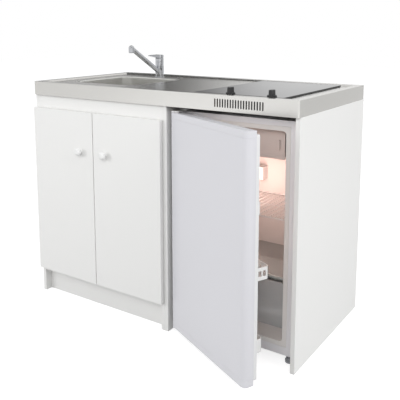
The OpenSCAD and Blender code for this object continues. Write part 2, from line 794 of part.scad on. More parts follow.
// Handle with a domed cap; its underside rises behind the pin so that it can tip
module tap_lever() {
    slot = lug_w + 2 * move_gap;
    back = tap_r - lever_pivot_y + tap_y;
    color(chrome_c) translate([tap_x, lever_pivot_y, lever_pivot_z]) {
        difference() {
            intersection() {
                rotate([90, 0, 90]) translate([0, 0, -tap_r]) linear_extrude(2 * tap_r)
                    polygon([[0, -lever_drop], [2, -lever_drop + 0.5], [back, -lever_drop + 0.5 + (back - 2) * 0.52],
                        [back, 4], [back - 3, 6.5], [0, 8.6], [-12, 10], [back - tap_r - lever_l, 10],
                        [back - tap_r - lever_l, 6], [-33, -lever_drop]]);
                translate([0, back - tap_r, -2 * lug_r]) linear_extrude(4 * lug_r) {
                    circle(tap_r);
                    polygon([[-tap_r * 0.7, 0], [tap_r * 0.7, 0], [tap_r * 0.6, -tap_r], [7, -lever_l + 6],
                        [4, -lever_l], [-4, -lever_l], [-7, -lever_l + 6], [-tap_r * 0.6, -tap_r]]);
                }
            }
            translate([-slot / 2, -lug_r - 3, -2 * lug_r]) cube([slot, 2 * (lug_r + 3), 3 * lug_r + 0.8]);
        }
        translate([-lug_w / 2 - 4, 0, 0]) rotate([0, 90, 0]) cylinder(r = lever_pin_r, h = lug_w + 8);
    }
}

// ---------------------------------------------------------------- hob

module hob_glass() {
    color(dark_c) difference() {
        union() {
            translate([hob_x, hob_y, glass_z]) rounded_plate(hob_w, hob_d, glass_t - 1, hob_glass_r);
            translate([hob_x + 1, hob_y + 1, glass_z])
                rounded_plate(hob_w - 2, hob_d - 2, glass_t, hob_glass_r - 1);
        }
        for (x = hob_knob_x) translate([x, hob_knob_y, glass_z - eps])
            cylinder(r = knob_hole_r, h = glass_t + 2 * eps);
    }
}

module hob_seal() {
    color(dark_c) translate([0, 0, deck_z]) difference() {
        translate([hob_x + 2, hob_y + 2, 0]) rounded_plate(hob_w - 4, hob_d - 4, seal_t, hob_glass_r - 2);
        translate([tray_x - touch_gap, tray_y - touch_gap, -eps])
            rounded_plate(tray_w + 2 * touch_gap, tray_d + 2 * touch_gap, seal_t + 2 * eps, 3);
    }
}

module hob_housing() {
    color(grey_c) translate([tray_x, tray_y, tray_z]) difference() {
        tray(tray_w, tray_d, tray_h, tray_t, 3);
        for (i = [0 : 5]) translate([30 + i * 14, tray_d - 30, -eps]) cylinder(r = 4, h = 4 * tray_t);
        for (i = [0 : 9]) translate([tray_w - 190 + i * 14, -eps, tray_h / 2 - 8]) cube([6, 4 * tray_t, 16]);
    }
}

// One radiant heater: a dish with an insulating bed and a wound element in a groove
module heater(r) {
    difference() {
        cylinder(r = r, h = heater_h);
        translate([0, 0, heater_h - 12]) cylinder(r = r - heater_wall, h = 12 + eps);
    }
    for (k = [1 : 5]) translate([0, 0, heater_h - 12])
        ring(r - heater_wall - 6 - k * (r - 24) / 6, r - heater_wall - 9 - k * (r - 24) / 6, 4);
}

module heaters() {
    color(grey_c) {
        translate([rear_heater_x, rear_heater_y, glass_z - heater_h - touch_gap]) heater(rear_heater_r);
        translate([front_heater_x, front_heater_y, glass_z - heater_h - touch_gap]) heater(front_heater_r);
        for (pos = [[rear_heater_x, rear_heater_y], [front_heater_x, front_heater_y]])
            translate([pos[0] - 15, pos[1] - 15, tray_z + tray_t])
                cube([30, 30, tray_h - tray_t - heater_h - touch_gap]);
    }
}

module hob_switches() {
    z = glass_z - switch_gap - switch_h;
    color(white_c) for (x = hob_knob_x) translate([x, hob_knob_y, z]) difference() {
        union() {
            translate([-switch_w / 2, switch_back - switch_d / 2, 0]) cube([switch_w, switch_d, switch_h]);
            translate([0, 0, switch_h - 1]) cylinder(r = 5.5, h = switch_gap + 1 - touch_gap);
            translate([-switch_w / 2, switch_back - switch_d / 2,
                tray_z + tray_t - glass_z + switch_gap + switch_h]) cube([switch_w, 4, switch_h]);
        }
        translate([0, 0, 6]) cylinder(r = knob_shaft_r + run_gap, h = 2 * switch_h);
    }
}

module hob_knob(x) {
    z = glass_top + move_gap;
    color(dark_c) translate([x, hob_knob_y, 0]) {
        difference() {
            union() {
                translate([0, 0, z]) rotate_extrude()
                    polygon([[0, 0], [hob_knob_r, 0], [hob_knob_r, 2], [hob_knob_r - 2, knob_skirt_h],
                        [0, knob_skirt_h]]);
                intersection() {
                    translate([0, 0, z]) rotate_extrude()
                        polygon([[0, 0], [hob_knob_r - 1.5, 0], [hob_knob_r - 3, hob_knob_h - 2],
                            [hob_knob_r - 5, hob_knob_h], [0, hob_knob_h]]);
                    translate([-knob_grip_w / 2, -hob_knob_r, z]) cube([knob_grip_w, 2 * hob_knob_r, hob_knob_h]);
                }
            }
            translate([-0.8, -hob_knob_r, z + hob_knob_h - 1]) cube([1.6, 10, 2]);
        }
        translate([0, 0, glass_z - switch_gap - switch_h + 7])
            cylinder(r = knob_shaft_r, h = z - glass_z + switch_gap + switch_h - 6);
    }
}

module left_hob_knob() { hob_knob(hob_knob_x[0]); }
module right_hob_knob() { hob_knob(hob_knob_x[1]); }

// ---------------------------------------------------------------- sink cabinet and niche

module board(size) {
    color(white_c) cube(size);
}

module left_side() {
    translate([0, board_front, 0]) board([board_t, -board_front, board_top]);
}

module right_side() {
    notch_w = board_t + 2 * eps;
    color(white_c) difference() {
        translate([partition_x - board_t, board_front, 0]) cube([board_t - touch_gap, -board_front, board_top]);
        translate([partition_x - notch_w, board_front - eps, fascia_z - touch_gap])
            cube([notch_w, board_t + touch_gap + eps, fascia_h + touch_gap + eps]);
    }
}

module cabinet_bottom() {
    translate([board_t, board_front, plinth_h]) board([inner_w, -board_front - back_air - back_t, board_t]);
}

module plinth() {
    translate([board_t, plinth_y, 0]) board([inner_w, board_t, plinth_h]);
}

module fascia() {
    translate([board_t, board_front, fascia_z]) board([cabinet_w - board_t - touch_gap, board_t, fascia_h]);
}

module wall_screw_holes(mid) {
    for (side = [-1, 1]) translate([mid + side * wall_screw_pitch / 2, eps, wall_screw_z])
        rotate([90, 0, 0]) cylinder(r = wall_screw_r, h = 60);
}

module rear_rail() {
    y = -back_air - back_t - board_t;
    color(white_c) difference() {
        translate([board_t, y, board_top - rail_h]) cube([inner_w, board_t, rail_h]);
        wall_screw_holes(cabinet_w / 2);
    }
}

module cabinet_back() {
    color(wood_c) difference() {
        translate([board_t, -back_air - back_t, plinth_h]) cube([inner_w, back_t, board_top - plinth_h]);
        translate([bowl_cx - service_w / 2, -back_air - back_t - eps, outlet_z - service_h / 2])
            cube([service_w, back_t + 2 * eps, service_h]);
        wall_screw_holes(cabinet_w / 2);
    }
}

module partition() {
    translate([partition_x, board_front, 0]) board([board_t, -board_front, board_top]);
}

module end_panel() {
    translate([end_x, board_front, 0]) board([board_t, -board_front, board_top]);
}

module niche_rail() {
    color(white_c) difference() {
        translate([niche_x, -back_air - back_t - board_t, board_top - rail_h]) cube([niche_w, board_t, rail_h]);
        wall_screw_holes(niche_x + niche_w / 2);
    }
}

// Hinge arm with its mounting plate, on the inner face of a side board at x = 0, cabinet to +X
module hinge_arm() {
    y0 = board_front + board_t + 3;
    color(grey_c) {
        translate([0, y0, -arm_plate_h / 2]) cube([3, 34, arm_plate_h]);
        translate([0, y0 + 34, -arm_h / 2]) cube([arm_t + 4, 16, arm_h]);
        translate([2, y0 + 4, -arm_h / 2]) cube([arm_t + 2, 34, arm_h]);
        translate([2, door_back - 6, -arm_h / 2]) linear_extrude(arm_h)
            polygon([[3, 0], [9, 0], [arm_t + 2, 12], [arm_t + 2, y0 + 5 - door_back + 6],
                [0, y0 + 5 - door_back + 6], [0, y0 - door_back + 2], [3, 12]]);
    }
}

module hinge_arms() {
    for (z = hinge_z) {
        translate([board_t, 0, z]) hinge_arm();
        translate([partition_x - board_t, 0, z]) mirror([1, 0, 0]) hinge_arm();
    }
}

// Door slab with round long edges, pockets for its hinge cups and a hole for its knob's screw
module door_slab(x0, cup_x, knob_x) {
    color(white_c) difference() {
        translate([x0, door_front, door_z0]) rounded_plate(door_w, board_t, door_h, door_edge_r);
        for (z = hinge_z) translate([cup_x, door_back + eps, z]) rotate([90, 0, 0])
            cylinder(r = cup_r, h = cup_depth + touch_gap + eps);
        translate([knob_x, door_back + eps, door_knob_z]) rotate([90, 0, 0])
            cylinder(r = knob_screw_r + touch_gap, h = board_t + 2 * eps);
    }
}

module left_door() { door_slab(left_door_x, left_door_x + cup_edge, left_knob_x); }
module right_door() { door_slab(right_door_x, right_door_x + door_w - cup_edge, right_knob_x); }

// Round knob on the door front, with its screw through the door
module door_knob(x) {
    color(plastic_c) translate([x, door_front, door_knob_z]) rotate([90, 0, 0]) {
        rotate_extrude() polygon([[0, 0], [knob_stem_r + 3, 0], [knob_stem_r, 4], [knob_stem_r, 10],
            [door_knob_r - 3, 13], [door_knob_r, 17], [door_knob_r - 1, 21], [door_knob_r - 5, 24.5],
            [6, door_knob_l], [0, door_knob_l]]);
        translate([0, 0, -board_t]) cylinder(r = knob_screw_r, h = board_t + 1);
        translate([0, 0, -board_t - 1.5]) cylinder(r = 2 * knob_screw_r, h = 1.5);
    }
}

module left_door_knob() { door_knob(left_knob_x); }
module right_door_knob() { door_knob(right_knob_x); }

// Hinge cups in a door's back; x is the cups' middle
module hinge_cups(x) {
    wing = 13;
    color(grey_c) for (z = hinge_z) translate([x, door_back, z]) rotate([90, 0, 0]) difference() {
        union() {
            cylinder(r = cup_r - touch_gap, h = cup_depth);
            translate([-wing, -26, -1.3]) cube([2 * wing, 52, 1.3]);
        }
        translate([0, 0, -2]) cylinder(r = cup_r - cup_wall, h = cup_depth - 0.5);
    }
}

module left_hinge_cups() { hinge_cups(left_door_x + cup_edge); }
module right_hinge_cups() { hinge_cups(right_door_x + door_w - cup_edge); }

// ---------------------------------------------------------------- fridge body

// The cold space, grown outward by g on every side but the front
module cold_space(g) {
    r = cav_r;
    translate([in_x - g, ffront - 2 * eps, 0]) rotate([90, 0, 0]) mirror([0, 0, 1]) {
        translate([0, in_step_z - g, 0]) {
            rounded_plate(in_w + 2 * g, in_top - in_step_z + 2 * g, in_back - ffront + 2 * eps + g, r);
            cube([in_w + 2 * g, 2 * r, in_back - ffront + 2 * eps + g]);
        }
        translate([0, in_z - g, 0])
            rounded_plate(in_w + 2 * g, in_top - in_z + 2 * g, in_step_back - ffront + 2 * eps + g, r);
    }
}

module fridge_shell() {
    color(fridge_c) difference() {
        translate([fx, ffront, fz]) cube([fridge_w, fridge_d, fridge_h]);
        cold_space(liner_t);
        translate([in_x - liner_t - flange_w, ffront - eps, in_z - liner_t - flange_w])
            cube([in_w + 2 * (liner_t + flange_w), eps + liner_t, in_top - in_z + 2 * (liner_t + flange_w)]);
        translate([fx + 2, fback - bay_d, fz - eps]) cube([fridge_w - 4, bay_d + eps, bay_h + eps]);
    }
}

module fridge_liner() {
    color(plastic_c) {
        difference() {
            union() {
                intersection() {
                    cold_space(liner_t);
                    translate([fx, ffront, fz]) cube([fridge_w, fridge_d, fridge_h]);
                }
                translate([in_x - liner_t - flange_w + touch_gap, ffront, in_z - liner_t - flange_w + touch_gap])
                    cube([in_w + 2 * (liner_t + flange_w - touch_gap), liner_t,
                        in_top - in_z + 2 * (liner_t + flange_w - touch_gap)]);
            }
            cold_space(0);
        }
        for (x = [in_x, in_x + in_w - ledge_w]) {
            translate([x, shelf_front - 6, shelf_z - wire_r - ledge_h])
                cube([ledge_w, in_back - shelf_front - 20, ledge_h]);
            translate([x, ice_front + 30, ice_z - ledge_h - touch_gap])
                cube([ledge_w, in_back - ice_front - 80, ledge_h]);
        }
        for (x = [in_x, in_x + in_w - ledge_w])
            translate([x, crisper_front + 4, in_step_z - ledge_h])
                cube([ledge_w, in_step_back - crisper_front - 4, ledge_h]);
    }
}

module ice_box() {
    w = in_w - 2 * ice_gap;
    d = in_back - ice_back - ice_front;
    color([0.8, 0.81, 0.83]) translate([in_x + ice_gap, ice_front, ice_z]) difference() {
        union() {
            cube([w, d, ice_h]);
            for (x = [14, w - 26], y = [40, d - 52]) translate([x, y, ice_h - 1])
                cube([12, 12, in_top - ice_top + 1 - touch_gap]);
            for (z = flap_lug_z) translate([0, 0, z - ice_z]) {
                translate([0, flap_axis_y - ice_front, 0])
                    cube([flap_axis_x - in_x - ice_gap + flap_lug_r, 8, flap_lug_h]);
                translate([flap_axis_x - in_x - ice_gap, flap_axis_y - ice_front, 0])
                    cylinder(r = flap_lug_r, h = flap_lug_h);
            }
        }
        translate([ice_t, -eps, ice_t]) cube([w - 2 * ice_t, d - ice_t + eps, ice_h - 2 * ice_t]);
        for (z = flap_lug_z) translate([flap_axis_x - in_x - ice_gap, flap_axis_y - ice_front, z - ice_z - eps])
            cylinder(r = flap_pin_r + run_gap, h = flap_lug_h + 2 * eps);
    }
}

module ice_box_flap() {
    z = ice_top + flap_over - flap_h;
    w = in_x + in_w - flap_gap_r - flap_axis_x;
    y = flap_axis_y - flap_t / 2;
    color([0.86, 0.86, 0.85]) {
        difference() {
            union() {
                translate([flap_axis_x, y, z]) cube([w, flap_t, flap_h]);
                translate([flap_axis_x, flap_axis_y, z]) cylinder(r = flap_t / 2 + 1, h = flap_h);
            }
            translate([flap_axis_x + 18, y - eps, z + 12]) cube([w - 34, 1.2 + eps, flap_h - 24]);
            for (lug = flap_lug_z) translate([flap_axis_x - 2 * flap_lug_r, y - 2, lug - 1])
                cube([4 * flap_lug_r, flap_t + 4, flap_lug_h + 2]);
        }
        translate([flap_axis_x, flap_axis_y, z]) cylinder(r = flap_pin_r, h = flap_h);
        translate([flap_axis_x + w - 22, y - 8, z + 34]) cube([5, 8.5, 32]);
    }
}

module wire_shelf() {
    x0 = in_x + 2;
    w = in_w - 4;
    y0 = shelf_front;
    y1 = in_back - 4;
    color("white") {
        for (y = [y0 + wire_r, y1 - wire_r]) translate([x0, y, shelf_z]) rotate([0, 90, 0])
            cylinder(r = wire_r, h = w);
        for (x = [x0 + wire_r, x0 + w - wire_r]) translate([x, y0 + wire_r, shelf_z]) rotate([-90, 0, 0])
            cylinder(r = wire_r, h = y1 - y0 - 2 * wire_r);
        translate([x0, (y0 + y1) / 2, shelf_z - rod_r]) rotate([0, 90, 0]) cylinder(r = rod_r, h = w);
        for (i = [1 : shelf_rods]) translate([x0 + i * w / (shelf_rods + 1), y0 + wire_r, shelf_z + 1])
            rotate([-90, 0, 0]) cylinder(r = rod_r, h = y1 - y0 - 2 * wire_r);
    }
}

module crisper_cover() {
    z = in_step_z;
    color(clear_c) translate([in_x + 1, shelf_front, z]) cube([in_w - 2, in_back - 1 - shelf_front, cover_t]);
    color("white") translate([in_x + 1, shelf_front - 10, z]) difference() {
        cube([in_w - 2, 10 - touch_gap, 12]);
        translate([6, 3, -eps]) cube([in_w - 14, 10, 9]);
    }
}

module crisper() {
    x0 = in_x + ledge_w + 4;
    w = in_w - 2 * (ledge_w + 4);
    h = crisper_top - ledge_h - in_z - 2;
    color(clear_c) translate([x0, crisper_front, in_z + move_gap]) {
        difference() {
            rounded_plate(w, in_step_back - 4 - crisper_front, h, 8);
            translate([crisper_wall, crisper_wall, crisper_wall])
                rounded_plate(w - 2 * crisper_wall, in_step_back - 4 - crisper_front - 2 * crisper_wall, h, 6);
        }
        translate([w / 2 - 50, -crisper_grip, h - 18]) difference() {
            cube([100, crisper_grip + 0.5, 16]);
            translate([4, 3, -eps]) cube([92, crisper_grip, 13 + eps]);
        }
    }
}

module thermostat_housing() {
    color(plastic_c) translate([stat_x, in_back - stat_d, stat_z]) difference() {
        cube([stat_w, stat_d - touch_gap, stat_h]);
        translate([10, -eps, 10]) cube([34, 14 + eps, stat_h - 20]);
        translate([stat_w - 28, -eps, stat_h / 2]) rotate([-90, 0, 0]) cylinder(r = 3 + run_gap, h = 14);
    }
}

module lamp_lens() {
    color([0.95, 0.95, 0.85]) translate([stat_x + 10 + touch_gap, in_back - stat_d - 6, stat_z + 10 + touch_gap])
        cube([34 - 2 * touch_gap, 19, stat_h - 20 - 2 * touch_gap]);
}

module thermostat_knob() {
    color(grey_c) translate([stat_x + stat_w - 28, in_back - stat_d - move_gap, stat_z + stat_h / 2])
    rotate([90, 0, 0]) {
        difference() {
            cylinder(r = stat_knob_r, h = stat_knob_l);
            for (a = [0 : 30 : 330]) rotate(a) translate([stat_knob_r + 1, 0, -eps])
                cylinder(r = 2, h = stat_knob_l + 2 * eps);
            translate([-0.7, 2, stat_knob_l - 0.8]) cube([1.4, stat_knob_r, 2]);
        }
        translate([0, 0, -10]) cylinder(r = 3, h = 11);
    }
}

// ---------------------------------------------------------------- fridge hinges, feet, machinery

module top_hinge_bracket() {
    color(plastic_c) difference() {
        union() {
            translate([fx + 2, fdoor_front + 4, ftop]) rounded_plate(34, ffront - fdoor_front + 40, 4, 6);
            translate([fx + 2, ffront + 4, ftop]) rounded_plate(34, 38, 7, 6);
        }
        for (y = [ffront + 12, ffront + 32]) translate([fx + 19, y, ftop + 3]) cylinder(r = 4, h = 6);
    }
    color(grey_c) translate([pin_x, pin_y, ftop - pin_l]) cylinder(r = pin_r, h = pin_l + 1);
}

module bottom_hinge_bracket() {
    z = fdoor_z0 - 2 - bracket_t;
    color(grey_c) {
        translate([fx + 4, fdoor_front + 6, z]) cube([34, ffront - fdoor_front + 34, bracket_t]);
        translate([fx + 4, ffront, z]) cube([34, 40, fz - z]);
        translate([pin_x, pin_y, z]) cylinder(r = pin_r, h = pin_l + bracket_t + 2);
    }
}

module fridge_feet() {
    left = fx + 22;
    right = fx + fridge_w - 22;
    color(dark_c) for (pos = [[left, ffront + 60], [right, ffront + 15], [left, fback - 30], [right, fback - 30]])
        translate([pos[0], pos[1], 0]) {
            cylinder(r = foot_r, h = 9);
            translate([0, 0, 9]) cylinder(r = foot_r - 3, h = 6);
            translate([0, 0, 15]) cylinder(r = 6, h = fz - 15);
        }
}

module compressor() {
    x = fx + fridge_w * 0.62;
    y = fback - bay_d / 2 - 2;
    color(dark_c) {
        translate([x, y, fz + 22]) rotate_extrude()
            polygon([[0, 0], [comp_r - 16, 0], [comp_r - 3, 10], [comp_r, 22], [comp_r, 52], [comp_r + 3, 52],
                [comp_r + 3, 58], [comp_r, 58], [comp_r, 86], [comp_r - 8, 104], [comp_r - 26, 114], [0, 118]]);
        translate([fx + 2 + touch_gap, y - 55, fz]) cube([fridge_w - 4 - 2 * touch_gap, 110, 3]);
        for (dx = [-70, 70], dy = [-30, 30]) translate([x + dx, y + dy, fz + 3]) cylinder(r = 9, h = 18);
        for (dx = [-70, 70]) translate([x + dx - 14, y - 40, fz + 21]) cube([28, 80, 3]);
        translate([x - 70, y - 12, fz + 21]) cube([140, 24, 4]);
    }
}

// Serpentine tube on a thin plate, held off the fridge's back by four brackets
module condenser() {
    x0 = fx + cond_side;
    w = fridge_w - 2 * cond_side;
    z0 = fz + bay_h + cond_end;
    z1 = ftop - cond_end;
    pitch = (z1 - z0) / (cond_runs - 1);
    y = fback + cond_stand + cond_plate_t / 2 + cond_tube_r;
    color(dark_c) {
        translate([x0 - cond_plate_x, fback + cond_stand, z0 - cond_plate_z])
            cube([w + 2 * cond_plate_x, cond_plate_t, z1 - z0 + 2 * cond_plate_z]);
        for (i = [0 : cond_runs - 1]) translate([x0, y, z0 + i * pitch]) rotate([0, 90, 0])
            cylinder(r = cond_tube_r, h = w);
        for (i = [0 : cond_runs - 2]) {
            right = i % 2 == 0;
            translate([right ? x0 + w : x0, y, z0 + (i + 0.5) * pitch]) rotate([90, 0, 0])
                rotate(right ? -90 : 90) rotate_extrude(angle = 180) translate([pitch / 2, 0]) circle(cond_tube_r);
        }
        for (z = [z0 + pitch / 2, z1 - pitch / 2], x = [x0 + 40, x0 + w - 56])
            translate([x, fback, z - 8]) cube([16, cond_stand + cond_plate_t / 2, 16]);
    }
}

// Stubs between the fridge's back and the rail along the wall
module fridge_spacers() {
    color(dark_c) for (x = [fx + 64, fx + fridge_w - 64]) translate([x, fback, ftop - 20]) rotate([-90, 0, 0]) {
        cylinder(r = 14, h = 4);
        cylinder(r = 9, h = -back_air - back_t - board_t - fback - touch_gap);
    }
}

module drip_tray() {
    x = fx + fridge_w * 0.62;
    y = fback - bay_d / 2 - 2;
    color(dark_c) translate([x - 60, y - 45, fz + 22 + 118 + touch_gap]) tray(120, 90, 26, 2, 8);
}

// ---------------------------------------------------------------- fridge door

// Outline of the door slab seen from above, closed
module fdoor_outline() {
    r = fridge_edge_r;
    translate([fx, fdoor_front]) {
        translate([r, 0]) square([fdoor_w - 2 * r, r]);
        translate([0, r]) square([fdoor_w, fridge_door_t - r]);
        for (x = [r, fdoor_w - r]) translate([x, r]) circle(r);
    }
}

module fridge_door_skin() {
    color(fridge_c) door_ajar() translate([0, 0, fdoor_z0 + cap_h])
        linear_extrude(fdoor_z1 - fdoor_z0 - 2 * cap_h) fdoor_outline();
}

module fridge_door_caps() {
    color(plastic_c) door_ajar() difference() {
        for (z = [fdoor_z0, fdoor_z1 - cap_h]) translate([0, 0, z]) linear_extrude(cap_h) fdoor_outline();
        for (z = [fdoor_z0 - eps, fdoor_z1 - pin_l - 1]) translate([pin_x, pin_y, z])
            cylinder(r = pin_r + run_gap, h = pin_l + 1 + eps);
        translate([fx - eps, fdoor_front - eps, fdoor_z1 - 2]) cube([fdoor_w + 2 * eps, 3 + eps, 3]);
    }
}

module fridge_door_liner() {
    base = inner_off + gasket_w + touch_gap;
    color(plastic_c) door_ajar() {
        translate([fx + base, fdoor_back, fdoor_z0 + base]) rotate([90, 0, 0]) mirror([0, 0, 1])
            rounded_plate(fdoor_w - base - free_off - gasket_w - touch_gap,
                fdoor_z1 - fdoor_z0 - 2 * base, liner_base_t, 5);
        difference() {
            translate([panel_x0, fdoor_back, panel_z0]) rotate([90, 0, 0]) mirror([0, 0, 1])
                rounded_plate(panel_w, panel_z1 - panel_z0, panel_t, 10);
            for (k = [1 : 4])
                translate([panel_x0 + 24, fdoor_back + panel_t - 3, panel_z0 + k * (panel_z1 - panel_z0) / 5])
                    cube([panel_w - 48, 3 + eps, 3]);
        }
    }
}

module door_gasket() {
    w = fdoor_w - inner_off - free_off;
    h = fdoor_z1 - fdoor_z0 - 2 * inner_off;
    color([0.9, 0.9, 0.9]) door_ajar() translate([fx + inner_off, fdoor_back, fdoor_z0 + inner_off]) {
        rotate([90, 0, 0]) mirror([0, 0, 1]) {
            difference() {
                rounded_plate(w, h, gasket_t, 5);
                translate([gasket_w, gasket_w, -eps])
                    rounded_plate(w - 2 * gasket_w, h - 2 * gasket_w, gasket_t + 2 * eps, 3);
                translate([7, 7, gasket_t - 3]) difference() {
                    rounded_plate(w - 14, h - 14, 4, 4);
                    translate([8, 8, -eps]) rounded_plate(w - 30, h - 30, 6, 3);
                }
            }
        }
    }
}

// Open rack, d deep and h high, its back to the door's inner panel; slots open its walls
module door_rack(d, h, z, slots) {
    r = rack_r;
    pitch = (rack_w - 2 * r - 16 - rack_slot_w) / (rack_slots - 1);
    translate([rack_x0, rack_y0, z]) difference() {
        rounded_plate(rack_w, d, h, r);
        translate([rack_t, rack_t, rack_t]) rounded_plate(rack_w - 2 * rack_t, d - 2 * rack_t, h, r - rack_t);
        translate([r + 6, -eps, h * 0.35]) cube([rack_w - 2 * r - 12, rack_t + 2 * eps, h]);
        if (slots) {
            for (i = [0 : rack_slots - 1]) translate([r + 8 + i * pitch, d - rack_t - eps, rack_slot_w])
                cube([rack_slot_w, rack_t + 2 * eps, h - 2 * rack_slot_w]);
            for (y = [r + 4 : 18 : d - r - rack_slot_w], x = [-eps, rack_w - rack_t - eps])
                translate([x, y, rack_slot_w]) cube([rack_t + 2 * eps, rack_slot_w, h - 2 * rack_slot_w]);
        }
    }
}

// Middle rack on two end brackets, and the upper rack
module door_racks() {
    bracket = [[0, 0.5], [0.64 * middle_rack_d, 0.5], [0.62 * middle_rack_d, -72], [0, -78]];
    color("white") door_ajar() {
        door_rack(middle_rack_d, middle_rack_h, middle_rack_z, true);
        door_rack(upper_rack_d, upper_rack_h, upper_rack_z, false);
        for (x = [rack_x0 + rack_r, rack_x0 + rack_w - rack_r - rack_t]) translate([x, rack_y0, middle_rack_z])
            rotate([90, 0, 90]) linear_extrude(rack_t) polygon(bracket);
    }
}

module bottle_rack() {
    color("white") door_ajar() door_rack(rack_d, bottle_rack_h, bottle_rack_z, false);
}

// ---------------------------------------------------------------- which node is drawn
worktop();
worktop_battens();
sink_bowl();
sink_waste();
bottle_trap();
overflow_pipe();
drain_plug();
tap_body();
tap_fixing();
tap_spout();
aerator();
tap_head();
tap_lever();
hob_glass();
hob_seal();
hob_housing();
heaters();
hob_switches();
left_hob_knob();
right_hob_knob();
left_side();
right_side();
cabinet_bottom();
cabinet_back();
fascia();
plinth();
rear_rail();
partition();
end_panel();
niche_rail();
hinge_arms();
left_door();
left_door_knob();
left_hinge_cups();
right_door();
right_door_knob();
right_hinge_cups();
fridge_shell();
fridge_liner();
ice_box();
ice_box_flap();
wire_shelf();
crisper_cover();
crisper();
thermostat_housing();
lamp_lens();
thermostat_knob();
top_hinge_bracket();
bottom_hinge_bracket();
fridge_feet();
fridge_spacers();
compressor();
condenser();
drip_tray();
fridge_door_skin();
fridge_door_caps();
fridge_door_liner();
door_gasket();
door_racks();
bottle_rack();
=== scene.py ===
import json
import math

import bmesh
import bpy
from mathutils import Matrix, Vector


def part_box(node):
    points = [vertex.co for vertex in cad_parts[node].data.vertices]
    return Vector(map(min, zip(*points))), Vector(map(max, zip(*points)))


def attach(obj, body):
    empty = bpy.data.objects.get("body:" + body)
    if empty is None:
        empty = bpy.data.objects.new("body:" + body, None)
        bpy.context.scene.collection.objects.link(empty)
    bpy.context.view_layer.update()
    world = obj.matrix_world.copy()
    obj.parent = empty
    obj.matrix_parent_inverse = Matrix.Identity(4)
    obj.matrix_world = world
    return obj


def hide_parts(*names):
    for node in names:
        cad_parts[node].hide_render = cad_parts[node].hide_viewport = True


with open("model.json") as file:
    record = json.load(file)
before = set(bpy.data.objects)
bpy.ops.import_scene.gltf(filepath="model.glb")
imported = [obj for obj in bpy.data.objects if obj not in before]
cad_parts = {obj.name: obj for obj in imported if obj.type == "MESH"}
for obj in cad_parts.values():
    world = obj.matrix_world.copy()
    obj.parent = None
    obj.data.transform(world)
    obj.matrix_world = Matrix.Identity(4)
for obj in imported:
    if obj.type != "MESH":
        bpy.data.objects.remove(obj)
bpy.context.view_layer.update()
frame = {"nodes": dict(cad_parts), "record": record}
nodes = frame["nodes"]
scene = bpy.context.scene
scene.view_settings.view_transform = "Standard"

MM = 0.001


# ------------------------------------------------------------------ camera, floor, light

CAMERA_PLACE = (1.9692, -2.3060, 1.1467)
CAMERA_LENS_MM = 54.41
SENSOR_WIDTH_MM = 36.0
CAMERA_SHIFT_Y = -0.205
LOOKS_DOWN_DEGREES = 8.69
TURNED_DEGREES = 33.7
NEAREST, FARTHEST = 0.05, 60.0

AMBIENT_STRENGTH = 0.62
AMBIENT_TINT = (0.97, 0.985, 1.0, 1.0)
BACKDROP_WHITE = (1.0, 1.0, 1.0, 1.0)
BACKDROP_STRENGTH = 1.0

FLOOR_REACH = 14.0
FLOOR_PAINT = (0.42, 0.42, 0.42, 1.0)
FLOOR_SHOWN = (0.46, 0.46, 0.46, 1.0)
FLOOR_LIFT = 0.78

FRIDGE_LAMP_POWER = 1.15
FRIDGE_LAMP_TINT = (1.0, 0.68, 0.60)
FRIDGE_LAMP_RADIUS = 0.04
LAMP_TOWARDS_MIDDLE = 0.09
LAMP_IN_FRONT = 0.10


def place_camera():
    data = bpy.data.cameras.new("camera")
    data.lens = CAMERA_LENS_MM
    data.sensor_width = SENSOR_WIDTH_MM
    data.shift_y = CAMERA_SHIFT_Y
    data.clip_start = NEAREST
    data.clip_end = FARTHEST
    camera = bpy.data.objects.new("camera", data)
    camera.location = CAMERA_PLACE
    tilt = math.radians(90 - LOOKS_DOWN_DEGREES)
    camera.rotation_euler = (tilt, 0.0, math.radians(TURNED_DEGREES))
    scene.collection.objects.link(camera)
    scene.camera = camera


def background_share(tree):
    """1 for camera, glossy and transmission rays, 0 for the rays that light a surface."""
    path = tree.nodes.new("ShaderNodeLightPath")
    seen_or_mirrored = tree.nodes.new("ShaderNodeMath")
    seen_or_mirrored.operation = "MAXIMUM"
    or_through_glass = tree.nodes.new("ShaderNodeMath")
    or_through_glass.operation = "MAXIMUM"
    tree.links.new(path.outputs["Is Camera Ray"], seen_or_mirrored.inputs[0])
    tree.links.new(path.outputs["Is Glossy Ray"], seen_or_mirrored.inputs[1])
    tree.links.new(seen_or_mirrored.outputs[0], or_through_glass.inputs[0])
    tree.links.new(path.outputs["Is Transmission Ray"], or_through_glass.inputs[1])
    return or_through_glass.outputs[0]


def light_world():
    """Soft, slightly cool light from all round, and a white backdrop for what is seen or mirrored."""
    world = bpy.data.worlds.new("studio")
    scene.world = world
    world.use_nodes = True
    tree = world.node_tree
    tree.nodes.clear()
    out = tree.nodes.new("ShaderNodeOutputWorld")
    soft = tree.nodes.new("ShaderNodeBackground")
    soft.inputs["Color"].default_value = AMBIENT_TINT
    soft.inputs["Strength"].default_value = AMBIENT_STRENGTH
    white = tree.nodes.new("ShaderNodeBackground")
    white.inputs["Color"].default_value = BACKDROP_WHITE
    white.inputs["Strength"].default_value = BACKDROP_STRENGTH
    mix = tree.nodes.new("ShaderNodeMixShader")
    tree.links.new(background_share(tree), mix.inputs[0])
    tree.links.new(soft.outputs[0], mix.inputs[1])
    tree.links.new(white.outputs[0], mix.inputs[2])
    tree.links.new(mix.outputs[0], out.inputs["Surface"])


